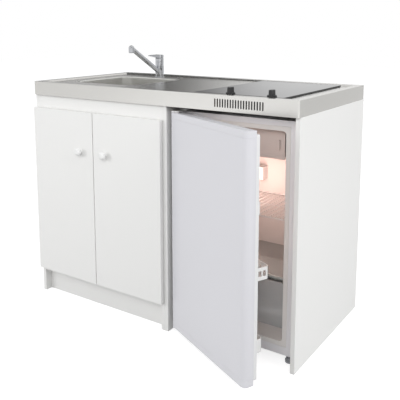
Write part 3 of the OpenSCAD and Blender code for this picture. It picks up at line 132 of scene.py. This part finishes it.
def soft_box(name, place, aim, size, power):
    """Rectangular lamp that looks at aim and that polished surfaces don't mirror."""
    data = bpy.data.lights.new(name, "AREA")
    data.shape = "RECTANGLE"
    data.size, data.size_y = size
    data.energy = power
    lamp = bpy.data.objects.new(name, data)
    lamp.location = place
    lamp.rotation_mode = "QUATERNION"
    lamp.rotation_quaternion = (Vector(aim) - Vector(place)).to_track_quat("-Z", "Y")
    lamp.visible_glossy = False
    scene.collection.objects.link(lamp)


def lay_floor():
    """Pale floor: it lights the unit as plain pale paint, and meets the white backdrop without a line."""
    mesh = bpy.data.meshes.new("floor")
    far = FLOOR_REACH
    mesh.from_pydata([(-far, -far, 0), (far, -far, 0), (far, far, 0), (-far, far, 0)], [], [(0, 1, 2, 3)])
    floor = bpy.data.objects.new("floor", mesh)
    scene.collection.objects.link(floor)
    material = bpy.data.materials.new("pale_floor")
    material.use_nodes = True
    tree = material.node_tree
    tree.nodes.clear()
    out = tree.nodes.new("ShaderNodeOutputMaterial")
    paint = tree.nodes.new("ShaderNodeBsdfDiffuse")
    paint.inputs["Color"].default_value = FLOOR_PAINT
    shown = tree.nodes.new("ShaderNodeBsdfDiffuse")
    shown.inputs["Color"].default_value = FLOOR_SHOWN
    lift = tree.nodes.new("ShaderNodeEmission")
    lift.inputs["Strength"].default_value = FLOOR_LIFT
    add = tree.nodes.new("ShaderNodeAddShader")
    tree.links.new(shown.outputs[0], add.inputs[0])
    tree.links.new(lift.outputs[0], add.inputs[1])
    mix = tree.nodes.new("ShaderNodeMixShader")
    tree.links.new(background_share(tree), mix.inputs[0])
    tree.links.new(paint.outputs[0], mix.inputs[1])
    tree.links.new(add.outputs[0], mix.inputs[2])
    tree.links.new(mix.outputs[0], out.inputs["Surface"])
    mesh.materials.append(material)


def hang_card(name, centre, aim, size, shade, far_shade=None, fade=None):
    """Plain glowing card that only polished surfaces see, for the light and dark bands in chrome and steel.

    With far_shade the card fades to it along world X, between the two places in fade."""
    mesh = bpy.data.meshes.new(name)
    turn = (Vector(aim) - Vector(centre)).to_track_quat("Z", "Y").to_matrix().to_4x4()
    place = Matrix.Translation(centre) @ turn
    half_w, half_h = size[0] / 2, size[1] / 2
    corners = [(-half_w, -half_h, 0), (half_w, -half_h, 0), (half_w, half_h, 0), (-half_w, half_h, 0)]
    mesh.from_pydata([place @ Vector(corner) for corner in corners], [], [(0, 1, 2, 3)])
    card = bpy.data.objects.new(name, mesh)
    scene.collection.objects.link(card)
    material = bpy.data.materials.new(name)
    material.use_nodes = True
    tree = material.node_tree
    tree.nodes.clear()
    out = tree.nodes.new("ShaderNodeOutputMaterial")
    glow = tree.nodes.new("ShaderNodeEmission")
    glow.inputs["Strength"].default_value = shade
    if far_shade is not None:
        spot = tree.nodes.new("ShaderNodeTexCoord")
        parts = tree.nodes.new("ShaderNodeSeparateXYZ")
        fading = tree.nodes.new("ShaderNodeMapRange")
        fading.interpolation_type = "SMOOTHSTEP"
        fading.inputs["From Min"].default_value, fading.inputs["From Max"].default_value = fade
        fading.inputs["To Min"].default_value = shade
        fading.inputs["To Max"].default_value = far_shade
        tree.links.new(spot.outputs["Object"], parts.inputs[0])
        tree.links.new(parts.outputs["X"], fading.inputs["Value"])
        tree.links.new(fading.outputs["Result"], glow.inputs["Strength"])
    tree.links.new(glow.outputs[0], out.inputs["Surface"])
    mesh.materials.append(material)
    card.visible_camera = False
    card.visible_diffuse = False
    card.visible_transmission = False
    card.visible_volume_scatter = False
    card.visible_shadow = False


def light_fridge():
    """The fridge's own lamp, a small warm light. It stands off its lens, to the front and to the middle."""
    low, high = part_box("lamp_lens")
    data = bpy.data.lights.new("fridge_lamp", "POINT")
    data.energy = FRIDGE_LAMP_POWER
    data.color = FRIDGE_LAMP_TINT
    data.shadow_soft_size = FRIDGE_LAMP_RADIUS
    lamp = bpy.data.objects.new("fridge_lamp", data)
    lamp.location = ((low[0] + high[0]) / 2 + LAMP_TOWARDS_MIDDLE,
                     low[1] - LAMP_IN_FRONT,
                     (low[2] + high[2]) / 2)
    lamp.visible_glossy = False
    scene.collection.objects.link(lamp)


place_camera()
light_world()
soft_box("key_light", place=(2.0, -4.0, 3.1), aim=(0.6, -0.3, 0.75), size=(2.4, 2.4), power=62)
soft_box("side_light", place=(4.4, -0.8, 2.6), aim=(1.2, -0.3, 0.7), size=(2.2, 2.2), power=78)
soft_box("fill_light", place=(-2.0, -3.8, 1.7), aim=(0.6, -0.3, 1.2), size=(2.4, 2.0), power=58)
lay_floor()
hang_card("card_back", centre=(-2.2, 2.4, 2.0), aim=(-2.2, 0.0, 2.0), size=(8.0, 3.0),
          shade=0.10, far_shade=0.95, fade=(-1.7, -0.15))
hang_card("card_back_left", centre=(-3.9, 2.35, 2.0), aim=(-3.9, 0.0, 2.0), size=(4.8, 3.0),
          shade=0.55, far_shade=0.10, fade=(-2.4, -1.5))
hang_card("card_front_left", centre=(-2.3, -2.7, 1.0), aim=(0.2, -0.6, 0.9), size=(1.7, 2.2), shade=0.86)
hang_card("card_back_right", centre=(2.4, 1.7, 1.2), aim=(1.2, -0.3, 0.9), size=(1.6, 2.0), shade=0.72)
hang_card("card_high_left", centre=(-1.3, 0.5, 2.9), aim=(0.5, -0.1, 0.95), size=(1.4, 3.0), shade=0.04)
hang_card("card_right", centre=(3.2, 0.4, 1.7), aim=(0.3, -0.1, 1.0), size=(0.9, 2.2), shade=0.04)
hang_card("card_front", centre=(0.0, -3.6, 1.9), aim=(0.3, -0.1, 1.0), size=(0.7, 1.6), shade=0.05)
hang_card("card_front_right", centre=(1.45, -1.75, 2.15), aim=(0.20, -0.20, 1.05), size=(1.3, 0.8),
          shade=0.05)
light_fridge()


# ------------------------------------------------------------------ shader node groups

FLOAT = "NodeSocketFloat"
COLOUR = "NodeSocketColor"
SURFACE_OUTPUTS = [("Color", COLOUR), ("Roughness", FLOAT), ("Height", FLOAT)]
BRUSHED_STRETCH = 0.004
WOOD_STRETCH = 0.06


def new_group(name, inputs, outputs):
    """Empty node group with the named sockets; returns its tree, input node and output node."""
    tree = bpy.data.node_groups.new(name, "ShaderNodeTree")
    for label, kind, default in inputs:
        socket = tree.interface.new_socket(label, in_out="INPUT", socket_type=kind)
        socket.default_value = default
    for label, kind in outputs:
        tree.interface.new_socket(label, in_out="OUTPUT", socket_type=kind)
    return tree, tree.nodes.new("NodeGroupInput"), tree.nodes.new("NodeGroupOutput")


def math_node(tree, operation, *values):
    """Math node whose inputs are plain numbers or other nodes' outputs; returns its output."""
    node = tree.nodes.new("ShaderNodeMath")
    node.operation = operation
    for socket, value in zip(node.inputs, values):
        if isinstance(value, (int, float)):
            socket.default_value = value
        else:
            tree.links.new(value, socket)
    return node.outputs[0]


def object_vector(tree, scale=(1, 1, 1)):
    place = tree.nodes.new("ShaderNodeTexCoord")
    mapping = tree.nodes.new("ShaderNodeMapping")
    mapping.inputs["Scale"].default_value = scale
    tree.links.new(place.outputs["Object"], mapping.inputs["Vector"])
    return mapping.outputs["Vector"]


def noise(tree, vector, scale, detail, rough=0.5):
    """Noise over vector, at the scale that the socket named scale gives."""
    node = tree.nodes.new("ShaderNodeTexNoise")
    node.inputs["Detail"].default_value = detail
    node.inputs["Roughness"].default_value = rough
    tree.links.new(vector, node.inputs["Vector"])
    tree.links.new(scale, node.inputs["Scale"])
    return node.outputs["Fac"]


def vary_colour(tree, base, factor, share):
    """base, lighter and darker by share where factor departs from one half."""
    shift = math_node(tree, "MULTIPLY", math_node(tree, "SUBTRACT", factor, 0.5), share)
    gain = math_node(tree, "ADD", shift, 1.0)
    scale = tree.nodes.new("ShaderNodeVectorMath")
    scale.operation = "SCALE"
    tree.links.new(base, scale.inputs[0])
    tree.links.new(gain, scale.inputs["Scale"])
    return scale.outputs[0]


def build_surface_group():
    """Painted or moulded surface: faint blotches, a fine skin texture, uneven gloss."""
    tree, given, made = new_group(
        "skin_texture",
        [("Base", COLOUR, (0.8, 0.8, 0.8, 1)), ("Roughness", FLOAT, 0.4),
         ("Blotch Scale", FLOAT, 3.0), ("Blotch Amount", FLOAT, 0.04),
         ("Grain Scale", FLOAT, 900.0), ("Gloss Change", FLOAT, 0.06)],
        SURFACE_OUTPUTS)
    place = object_vector(tree)
    blotch = noise(tree, place, given.outputs["Blotch Scale"], detail=3.0)
    grain = noise(tree, place, given.outputs["Grain Scale"], detail=1.0)
    colour = vary_colour(tree, given.outputs["Base"], blotch, given.outputs["Blotch Amount"])
    gloss = math_node(tree, "MULTIPLY_ADD", math_node(tree, "SUBTRACT", blotch, 0.5),
                      given.outputs["Gloss Change"], given.outputs["Roughness"])
    tree.links.new(colour, made.inputs["Color"])
    tree.links.new(gloss, made.inputs["Roughness"])
    tree.links.new(grain, made.inputs["Height"])
    return tree


def build_brushed_group():
    """Sheet metal brushed along X. On faces that look along X the lines run down instead."""
    tree, given, made = new_group(
        "brushed_lines",
        [("Base", COLOUR, (0.6, 0.6, 0.6, 1)), ("Roughness", FLOAT, 0.3),
         ("Line Density", FLOAT, 700.0), ("Line Amount", FLOAT, 0.08)],
        SURFACE_OUTPUTS)
    place = tree.nodes.new("ShaderNodeTexCoord")
    parts = tree.nodes.new("ShaderNodeSeparateXYZ")
    facing = tree.nodes.new("ShaderNodeSeparateXYZ")
    tree.links.new(place.outputs["Object"], parts.inputs[0])
    tree.links.new(place.outputs["Normal"], facing.inputs[0])
    end_face = math_node(tree, "ABSOLUTE", facing.outputs["X"])
    keep_z = math_node(tree, "SUBTRACT", 1.0, end_face)
    across_z = math_node(tree, "MULTIPLY", parts.outputs["Z"], keep_z)
    joined = tree.nodes.new("ShaderNodeCombineXYZ")
    tree.links.new(math_node(tree, "MULTIPLY", parts.outputs["X"], BRUSHED_STRETCH), joined.inputs["X"])
    tree.links.new(parts.outputs["Y"], joined.inputs["Y"])
    tree.links.new(across_z, joined.inputs["Z"])
    lines = noise(tree, joined.outputs[0], given.outputs["Line Density"], detail=3.0, rough=0.6)
    colour = vary_colour(tree, given.outputs["Base"], lines, given.outputs["Line Amount"])
    tree.links.new(colour, made.inputs["Color"])
    tree.links.new(given.outputs["Roughness"], made.inputs["Roughness"])
    tree.links.new(lines, made.inputs["Height"])
    return tree


def build_wood_group():
    """Straight-grained wood along X."""
    tree, given, made = new_group(
        "wood_grain",
        [("Base", COLOUR, (0.6, 0.45, 0.3, 1)), ("Roughness", FLOAT, 0.7),
         ("Grain Scale", FLOAT, 60.0), ("Grain Amount", FLOAT, 0.4)],
        SURFACE_OUTPUTS)
    place = object_vector(tree, (WOOD_STRETCH, 1.0, 1.0))
    grain = noise(tree, place, given.outputs["Grain Scale"], detail=5.0, rough=0.65)
    colour = vary_colour(tree, given.outputs["Base"], grain, given.outputs["Grain Amount"])
    tree.links.new(colour, made.inputs["Color"])
    tree.links.new(given.outputs["Roughness"], made.inputs["Roughness"])
    tree.links.new(grain, made.inputs["Height"])
    return tree


def build_zone_group():
    """Thin printed ring round one cooking zone, seen from above."""
    tree, given, made = new_group(
        "zone_ring",
        [("Centre X", FLOAT, 0.0), ("Centre Y", FLOAT, 0.0),
         ("Radius", FLOAT, 0.09), ("Line Width", FLOAT, 0.0012)],
        [("Mask", FLOAT)])
    parts = tree.nodes.new("ShaderNodeSeparateXYZ")
    place = tree.nodes.new("ShaderNodeTexCoord")
    tree.links.new(place.outputs["Object"], parts.inputs[0])
    across = math_node(tree, "SUBTRACT", parts.outputs["X"], given.outputs["Centre X"])
    along = math_node(tree, "SUBTRACT", parts.outputs["Y"], given.outputs["Centre Y"])
    square = math_node(tree, "ADD", math_node(tree, "MULTIPLY", across, across),
                       math_node(tree, "MULTIPLY", along, along))
    away = math_node(tree, "ABSOLUTE", math_node(tree, "SUBTRACT", math_node(tree, "SQRT", square),
                                                 given.outputs["Radius"]))
    on_line = math_node(tree, "LESS_THAN", away, given.outputs["Line Width"])
    tree.links.new(on_line, made.inputs["Mask"])
    return tree


GROUPS = {"skin": build_surface_group(), "brushed": build_brushed_group(),
          "wood": build_wood_group(), "zone": build_zone_group()}


# ------------------------------------------------------------------ materials

PAINT_BUMP_DEPTH = 0.0002
BRUSHED_BUMP_DEPTH = 0.0001


def make_material(name, group, values, bump, bump_depth, **plain):
    """Principled material whose colour, roughness and bump come from a group; plain sets constant sockets."""
    material = bpy.data.materials.new(name)
    material.use_nodes = True
    tree = material.node_tree
    shader = tree.nodes["Principled BSDF"]
    pattern = tree.nodes.new("ShaderNodeGroup")
    pattern.node_tree = GROUPS[group]
    for label, value in values.items():
        pattern.inputs[label].default_value = (*value, 1.0) if isinstance(value, tuple) else value
    tree.links.new(pattern.outputs["Color"], shader.inputs["Base Color"])
    tree.links.new(pattern.outputs["Roughness"], shader.inputs["Roughness"])
    if bump:
        relief = tree.nodes.new("ShaderNodeBump")
        relief.inputs["Strength"].default_value = bump
        relief.inputs["Distance"].default_value = bump_depth
        tree.links.new(pattern.outputs["Height"], relief.inputs["Height"])
        tree.links.new(relief.outputs["Normal"], shader.inputs["Normal"])
    for label, value in plain.items():
        shader.inputs[label.replace("_", " ")].default_value = value
    return material


def skin(name, base, rough, bump, blotch=0.03, grain=900.0, **plain):
    """Paint, plastic, rubber, glass or plated metal."""
    values = {"Base": base, "Roughness": rough, "Blotch Amount": blotch, "Grain Scale": grain}
    return make_material(name, "skin", values, bump, PAINT_BUMP_DEPTH, **plain)


def brushed(name, base, rough, density=700.0, amount=0.12, bump=0.05):
    """Stainless sheet with brushed lines."""
    values = {"Base": base, "Roughness": rough, "Line Density": density, "Line Amount": amount}
    return make_material(name, "brushed", values, bump, BRUSHED_BUMP_DEPTH, Metallic=1.0)


def wood(name, base, bump):
    """Battens, painted dark as painted shade, so that the gap behind the air slots reads dark."""
    return make_material(name, "wood", {"Base": base}, bump, PAINT_BUMP_DEPTH)


MATERIALS = {
    "steel": brushed("steel_brushed", (0.70, 0.69, 0.665), rough=0.27),
    "sink_steel": brushed("steel_satin", (0.74, 0.735, 0.71), rough=0.36, density=500.0, amount=0.08),
    "chrome": skin("chrome_plate", (0.52, 0.53, 0.55), rough=0.045, bump=0.02, blotch=0.02, Metallic=1.0),
    "zinc": skin("zinc_plate", (0.55, 0.56, 0.58), rough=0.35, bump=0.2, blotch=0.12, grain=400.0,
                 Metallic=1.0),
    "board": skin("melamine_white", (0.80, 0.795, 0.78), rough=0.42, bump=0.12, blotch=0.012, grain=1400.0),
    # painted shade: the battens' colour is far darker than softwood, so that the air slots show dark behind
    # them
    "batten": wood("softwood_painted_shade", (0.13, 0.095, 0.06), bump=0.5),
    "backboard": skin("hardboard", (0.42, 0.31, 0.20), rough=0.75, bump=0.5, blotch=0.15, grain=500.0),
    "white_plastic": skin("white_plastic", (0.80, 0.80, 0.79), rough=0.28, bump=0.08),
    "pipe_plastic": skin("pipe_plastic", (0.78, 0.78, 0.75), rough=0.4, bump=0.1),
    "fridge_skin": skin("fridge_paint", (0.66, 0.655, 0.685), rough=0.26, bump=0.1, grain=700.0),
    # painted light: the fridge body's paint is made lighter than the door's paint to make up for the shade
    # that the worktop's overhang casts on it
    "fridge_body": skin("fridge_body_paint_painted_light", (0.84, 0.825, 0.845), rough=0.34, bump=0.1, grain=700.0),
    "liner": skin("liner_plastic", (0.80, 0.77, 0.745), rough=0.3, bump=0.06),
    "ice_metal": skin("evaporator_metal", (0.66, 0.66, 0.67), rough=0.38, bump=0.3, blotch=0.1, grain=300.0,
                      Metallic=1.0),
    "flap": skin("flap_plastic", (0.68, 0.58, 0.54), rough=0.3, bump=0.1),
    "wire": skin("coated_wire", (0.80, 0.80, 0.79), rough=0.3, bump=0.05),
    "clear": skin("shelf_glass", (0.86, 0.93, 0.92), rough=0.03, bump=0.0, blotch=0.01, IOR=1.5,
                  Transmission_Weight=0.7),
    "clear_plastic": skin("clear_plastic", (0.90, 0.92, 0.93), rough=0.08, bump=0.0, blotch=0.01, IOR=1.49,
                          Transmission_Weight=0.45),
    "lamp": skin("lamp_lens", (0.92, 0.86, 0.74), rough=0.2, bump=0.05),
    "grey_plastic": skin("grey_plastic", (0.30, 0.31, 0.33), rough=0.4, bump=0.2),
    "black_plastic": skin("black_plastic", (0.018, 0.018, 0.019), rough=0.32, bump=0.2),
    "black_metal": skin("black_enamel", (0.02, 0.02, 0.022), rough=0.35, bump=0.2),
    "hob_black": skin("hob_glass", (0.012, 0.012, 0.013), rough=0.04, bump=0.0, blotch=0.05),
    "seal": skin("seal_rubber", (0.03, 0.03, 0.03), rough=0.7, bump=0.3),
    "gasket": skin("gasket_rubber", (0.72, 0.72, 0.72), rough=0.5, bump=0.15),
    # painted shade: the sheet tray under the hob is coloured near black so that the space below the hob reads
    # dark
    "tray_metal": skin("tray_sheet_painted_shade", (0.02, 0.02, 0.021), rough=0.5, bump=0.1, blotch=0.3),
    "heater": skin("heater_fibre", (0.58, 0.54, 0.46), rough=0.9, bump=0.8, blotch=0.1, grain=300.0),
}

FRONT_ZONE_X = 0.9555
FRONT_ZONE_RADIUS = 0.072
REAR_ZONE_X = 0.9485
REAR_ZONE_RADIUS = 0.090
REAR_INNER_RADIUS = 0.058
ZONE_INK = (0.16, 0.16, 0.165, 1.0)
ZONE_LINE_WIDTH = 0.0011

# A Mix node has sockets for every data type; these are the places of the ones for colours.
MIX_FACTOR, MIX_FIRST_COLOUR, MIX_SECOND_COLOUR, MIX_RESULT = 0, 6, 7, 2


def print_zones(material, zones):
    """Adds the rings of the cooking zones to the hob's glass."""
    tree = material.node_tree
    shader = tree.nodes["Principled BSDF"]
    ground = shader.inputs["Base Color"].links[0].from_socket
    rings = None
    for x, y, radius in zones:
        ring = tree.nodes.new("ShaderNodeGroup")
        ring.node_tree = GROUPS["zone"]
        ring.inputs["Centre X"].default_value = x
        ring.inputs["Centre Y"].default_value = y
        ring.inputs["Radius"].default_value = radius
        ring.inputs["Line Width"].default_value = ZONE_LINE_WIDTH
        mask = ring.outputs["Mask"]
        rings = mask if rings is None else math_node(tree, "MAXIMUM", rings, mask)
    mix = tree.nodes.new("ShaderNodeMix")
    mix.data_type = "RGBA"
    tree.links.new(rings, mix.inputs[MIX_FACTOR])
    tree.links.new(ground, mix.inputs[MIX_FIRST_COLOUR])
    mix.inputs[MIX_SECOND_COLOUR].default_value = ZONE_INK
    tree.links.new(mix.outputs[MIX_RESULT], shader.inputs["Base Color"])


heater_low, heater_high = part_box("heaters")
front_zone_y = heater_low[1] + FRONT_ZONE_RADIUS
rear_zone_y = heater_high[1] - REAR_ZONE_RADIUS
print_zones(MATERIALS["hob_black"], [(FRONT_ZONE_X, front_zone_y, FRONT_ZONE_RADIUS),
                                     (REAR_ZONE_X, rear_zone_y, REAR_ZONE_RADIUS),
                                     (REAR_ZONE_X, rear_zone_y, REAR_INNER_RADIUS)])

SLOT_OF = {part["node"]: part["material_slot"] for part in frame["record"]["subparts"]}
BODY_OF = {node: body for body, members in frame["record"]["behaviour"]["bodies"].items()
           for node in members}

# Pieces that look different from the rest of their slot.
FINISH_OF = {"sink_bowl": "sink_steel", "fridge_door_caps": "fridge_skin", "fridge_feet": "grey_plastic"}


def finish_of(node):
    return MATERIALS[FINISH_OF.get(node, SLOT_OF[node])]


for name, part in nodes.items():
    part.data.materials.clear()
    part.data.materials.append(finish_of(name))


# ------------------------------------------------------------------ edges that catch the light

SMOOTH_BELOW = math.radians(40.0)
ROUND_ABOVE = math.radians(32.0)
ROUNDING_STEPS = 2
MERGE_WITHIN = 0.01 * MM
FLAT_WITHIN = math.radians(0.4)

EDGE_WIDTH_MM = {
    "worktop": 0.45, "left_side": 0.8, "right_side": 0.6, "partition": 0.8, "end_panel": 0.8,
    "fascia": 0.6, "plinth": 0.8, "cabinet_bottom": 0.6, "rear_rail": 0.6, "niche_rail": 0.6,
    "left_door": 0.6, "right_door": 0.6, "fridge_door_skin": 0.8, "fridge_door_caps": 1.0,
    "fridge_shell": 1.0, "hob_glass": 0.5, "tap_lever": 0.9, "tap_head": 0.5, "tap_spout": 0.4,
    "tap_body": 0.4, "top_hinge_bracket": 0.5, "thermostat_housing": 1.2, "ice_box_flap": 0.5,
    "crisper_cover": 0.4, "fridge_door_liner": 0.8, "door_racks": 0.4, "bottle_rack": 0.4,
    "crisper": 0.4, "lamp_lens": 0.8, "sink_bowl": 0.0, "left_hob_knob": 0.4, "right_hob_knob": 0.4,
    "left_door_knob": 0.5, "right_door_knob": 0.5,
}


def settle(piece):
    """Gives the piece the mesh that its modifiers make, and takes them off."""
    graph = bpy.context.evaluated_depsgraph_get()
    shaped = piece.evaluated_get(graph)
    mesh = bpy.data.meshes.new_from_object(shaped, preserve_all_data_layers=True, depsgraph=graph)
    piece.modifiers.clear()
    piece.data = mesh


def place_piece(name, mesh, body, finish):
    """New piece at the origin with its finish, riding on its body."""
    piece = bpy.data.objects.new(name, mesh)
    scene.collection.objects.link(piece)
    mesh.materials.clear()
    mesh.materials.append(finish)
    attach(piece, body)
    return piece


def smooth_by_angle(mesh):
    """Shades the mesh smooth, except at its open edges and where it turns more sharply than the limit."""
    sheet = bmesh.new()
    sheet.from_mesh(mesh)
    for face in sheet.faces:
        face.smooth = True
    for edge in sheet.edges:
        edge.smooth = len(edge.link_faces) == 2 and edge.calc_face_angle(math.pi) < SMOOTH_BELOW
    sheet.to_mesh(mesh)
    sheet.free()


def soften(node, width_mm):
    """Copy of a node's mesh, merged, with its sharp edges rounded over; it stands for the node.

    At a width of 0 the copy is only merged and smoothed."""
    mesh = nodes[node].data.copy()
    mesh.name = node + "_finished"
    sheet = bmesh.new()
    sheet.from_mesh(mesh)
    bmesh.ops.remove_doubles(sheet, verts=sheet.verts, dist=MERGE_WITHIN)
    bmesh.ops.dissolve_limit(sheet, angle_limit=FLAT_WITHIN, verts=sheet.verts, edges=sheet.edges)
    sheet.to_mesh(mesh)
    sheet.free()
    piece = place_piece(node + "_finished", mesh, BODY_OF[node], finish_of(node))
    if width_mm:
        edge = piece.modifiers.new("edge", "BEVEL")
        edge.width = width_mm * MM
        edge.segments = ROUNDING_STEPS
        edge.limit_method = "ANGLE"
        edge.angle_limit = ROUND_ABOVE
        edge.use_clamp_overlap = True
        edge.miter_outer = "MITER_ARC"
        settle(piece)
    smooth_by_angle(piece.data)
    even = piece.modifiers.new("even", "WEIGHTED_NORMAL")
    even.keep_sharp = True
    settle(piece)
    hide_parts(node)


for node, width_mm in EDGE_WIDTH_MM.items():
    soften(node, width_mm)


# ------------------------------------------------------------------ rows of small repeated pieces

ALONG_Y = (math.radians(90), 0.0, 0.0)
ALONG_X = (0.0, math.radians(90), 0.0)
UPRIGHT = (0.0, 0.0, 0.0)

SHEET_PIN = {"Radius": 0.0022, "Length": 0.0009, "Turn": ALONG_Y, "Sides": 10}
CUP_SCREW = {"Radius": 0.0032, "Length": 0.0012, "Turn": ALONG_Y, "Sides": 14}
ARM_SCREW = {"Radius": 0.0035, "Length": 0.0014, "Turn": ALONG_X, "Sides": 14}

HEAD_PROUD = 0.0003
SCREWS_IN_PAIR = 2
PIN_INSET = 0.008
SIDE_PIN_FROM_END = 0.03
SIDE_PIN_STEP = 0.0785
SIDE_PIN_COUNT = 10
BOTTOM_PIN_FROM_END = 0.06
BOTTOM_PIN_STEP = 0.0855
BOTTOM_PIN_COUNT = 7

WIRE_COUNT = 30
WIRE_RADIUS = 0.0007
WIRE_SUNK = 0.0006
WIRE_SIDES = 8
CONDENSER_SIDE_MARGIN = 0.03
CONDENSER_END_MARGIN = 0.01

CUP_SCREW_FROM_END = 0.0055
CUP_SCREW_STEP = 0.041
ARM_SCREW_INSET = 0.0034
ARM_SCREW_FROM_FRONT = 0.035
ARM_SCREW_FROM_END = 0.005
ARM_SCREW_STEP = 0.036


def build_row_tree():
    """A straight row of short round pins: heads of screws and pins, or wires laid side by side."""
    tree = bpy.data.node_groups.new("row_of_pins", "GeometryNodeTree")
    for label, kind, default in (("Start", "NodeSocketVector", (0, 0, 0)),
                                 ("Step", "NodeSocketVector", (0.1, 0, 0)),
                                 ("Count", "NodeSocketInt", 4),
                                 ("Radius", "NodeSocketFloat", 0.003),
                                 ("Length", "NodeSocketFloat", 0.001),
                                 ("Turn", "NodeSocketVector", (0, 0, 0)),
                                 ("Sides", "NodeSocketInt", 12)):
        tree.interface.new_socket(label, in_out="INPUT", socket_type=kind).default_value = default
    tree.interface.new_socket("Finish", in_out="INPUT", socket_type="NodeSocketMaterial")
    tree.interface.new_socket("Geometry", in_out="OUTPUT", socket_type="NodeSocketGeometry")
    given = tree.nodes.new("NodeGroupInput")
    made = tree.nodes.new("NodeGroupOutput")
    line = tree.nodes.new("GeometryNodeMeshLine")
    line.mode = "OFFSET"
    pin = tree.nodes.new("GeometryNodeMeshCylinder")
    spread = tree.nodes.new("GeometryNodeInstanceOnPoints")
    real = tree.nodes.new("GeometryNodeRealizeInstances")
    finish = tree.nodes.new("GeometryNodeSetMaterial")
    for source, target in ((given.outputs["Count"], line.inputs["Count"]),
                           (given.outputs["Start"], line.inputs["Start Location"]),
                           (given.outputs["Step"], line.inputs["Offset"]),
                           (given.outputs["Sides"], pin.inputs["Vertices"]),
                           (given.outputs["Radius"], pin.inputs["Radius"]),
                           (given.outputs["Length"], pin.inputs["Depth"]),
                           (line.outputs["Mesh"], spread.inputs["Points"]),
                           (pin.outputs["Mesh"], spread.inputs["Instance"]),
                           (given.outputs["Turn"], spread.inputs["Rotation"]),
                           (spread.outputs["Instances"], real.inputs["Geometry"]),
                           (real.outputs["Geometry"], finish.inputs["Geometry"]),
                           (given.outputs["Finish"], finish.inputs["Material"]),
                           (finish.outputs["Geometry"], made.inputs["Geometry"])):
        tree.links.new(source, target)
    return tree


ROW = build_row_tree()
ROW_SOCKET = {item.name: item.identifier for item in ROW.interface.items_tree if item.in_out == "INPUT"}


def row_of(pin, start, step, count):
    """Values of one row of pins: the first one's place, the step to the next and how many there are."""
    return {"Start": start, "Step": step, "Count": count, **pin}


def lay_rows(name, body, slot, rows):
    """One mesh of several rows of pins, in the finish of its slot."""
    sheet = bmesh.new()
    for values in rows:
        carrier = bpy.data.objects.new(name + "_row", bpy.data.meshes.new(name + "_row"))
        scene.collection.objects.link(carrier)
        row = carrier.modifiers.new("row", "NODES")
        row.node_group = ROW
        for label, value in values.items():
            row[ROW_SOCKET[label]] = value
        row[ROW_SOCKET["Finish"]] = MATERIALS[slot]
        settle(carrier)
        sheet.from_mesh(carrier.data)
        bpy.data.objects.remove(carrier)
    mesh = bpy.data.meshes.new(name)
    sheet.to_mesh(mesh)
    sheet.free()
    piece = place_piece(name, mesh, body, MATERIALS[slot])
    smooth_by_angle(piece.data)


def pin_back_sheet():
    """Pins up both sides of the back sheet and along its foot."""
    low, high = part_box("cabinet_back")
    face = high[1] + HEAD_PROUD
    rows = [row_of(SHEET_PIN, (x, face, low[2] + SIDE_PIN_FROM_END), (0, 0, SIDE_PIN_STEP), SIDE_PIN_COUNT)
            for x in (low[0] + PIN_INSET, high[0] - PIN_INSET)]
    rows.append(row_of(SHEET_PIN, (low[0] + BOTTOM_PIN_FROM_END, face, low[2] + PIN_INSET),
                       (BOTTOM_PIN_STEP, 0, 0), BOTTOM_PIN_COUNT))
    lay_rows("back_sheet_pins", "unit", "zinc", rows)


def wire_condenser():
    """Thin upright wires across the condenser's coil."""
    low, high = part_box("condenser")
    gap = (high[0] - low[0] - 2 * CONDENSER_SIDE_MARGIN) / (WIRE_COUNT - 1)
    start = (low[0] + CONDENSER_SIDE_MARGIN, high[1] - WIRE_SUNK, (low[2] + high[2]) / 2)
    wire = {"Radius": WIRE_RADIUS, "Length": high[2] - low[2] - 2 * CONDENSER_END_MARGIN,
            "Turn": UPRIGHT, "Sides": WIRE_SIDES}
    lay_rows("condenser_wires", "unit", "black_metal", [row_of(wire, start, (gap, 0, 0), WIRE_COUNT)])


def screw_hinges():
    """Screw heads on the hinge cups, which ride on the doors, and on the arms' plates."""
    for side in ("left", "right"):
        low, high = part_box(side + "_hinge_cups")
        middle = (low[0] + high[0]) / 2
        face = high[1] + HEAD_PROUD
        rows = [row_of(CUP_SCREW, (middle, face, z), (0, 0, CUP_SCREW_STEP), SCREWS_IN_PAIR)
                for z in (low[2] + CUP_SCREW_FROM_END, high[2] - CUP_SCREW_FROM_END - CUP_SCREW_STEP)]
        lay_rows(side + "_cup_screws", side + "_door", "zinc", rows)
    low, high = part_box("hinge_arms")
    rows = [row_of(ARM_SCREW, (x, low[1] + ARM_SCREW_FROM_FRONT, z), (0, 0, ARM_SCREW_STEP), SCREWS_IN_PAIR)
            for x in (low[0] + ARM_SCREW_INSET, high[0] - ARM_SCREW_INSET)
            for z in (low[2] + ARM_SCREW_FROM_END, high[2] - ARM_SCREW_FROM_END - ARM_SCREW_STEP)]
    lay_rows("arm_screws", "unit", "zinc", rows)


pin_back_sheet()
wire_condenser()
screw_hinges()
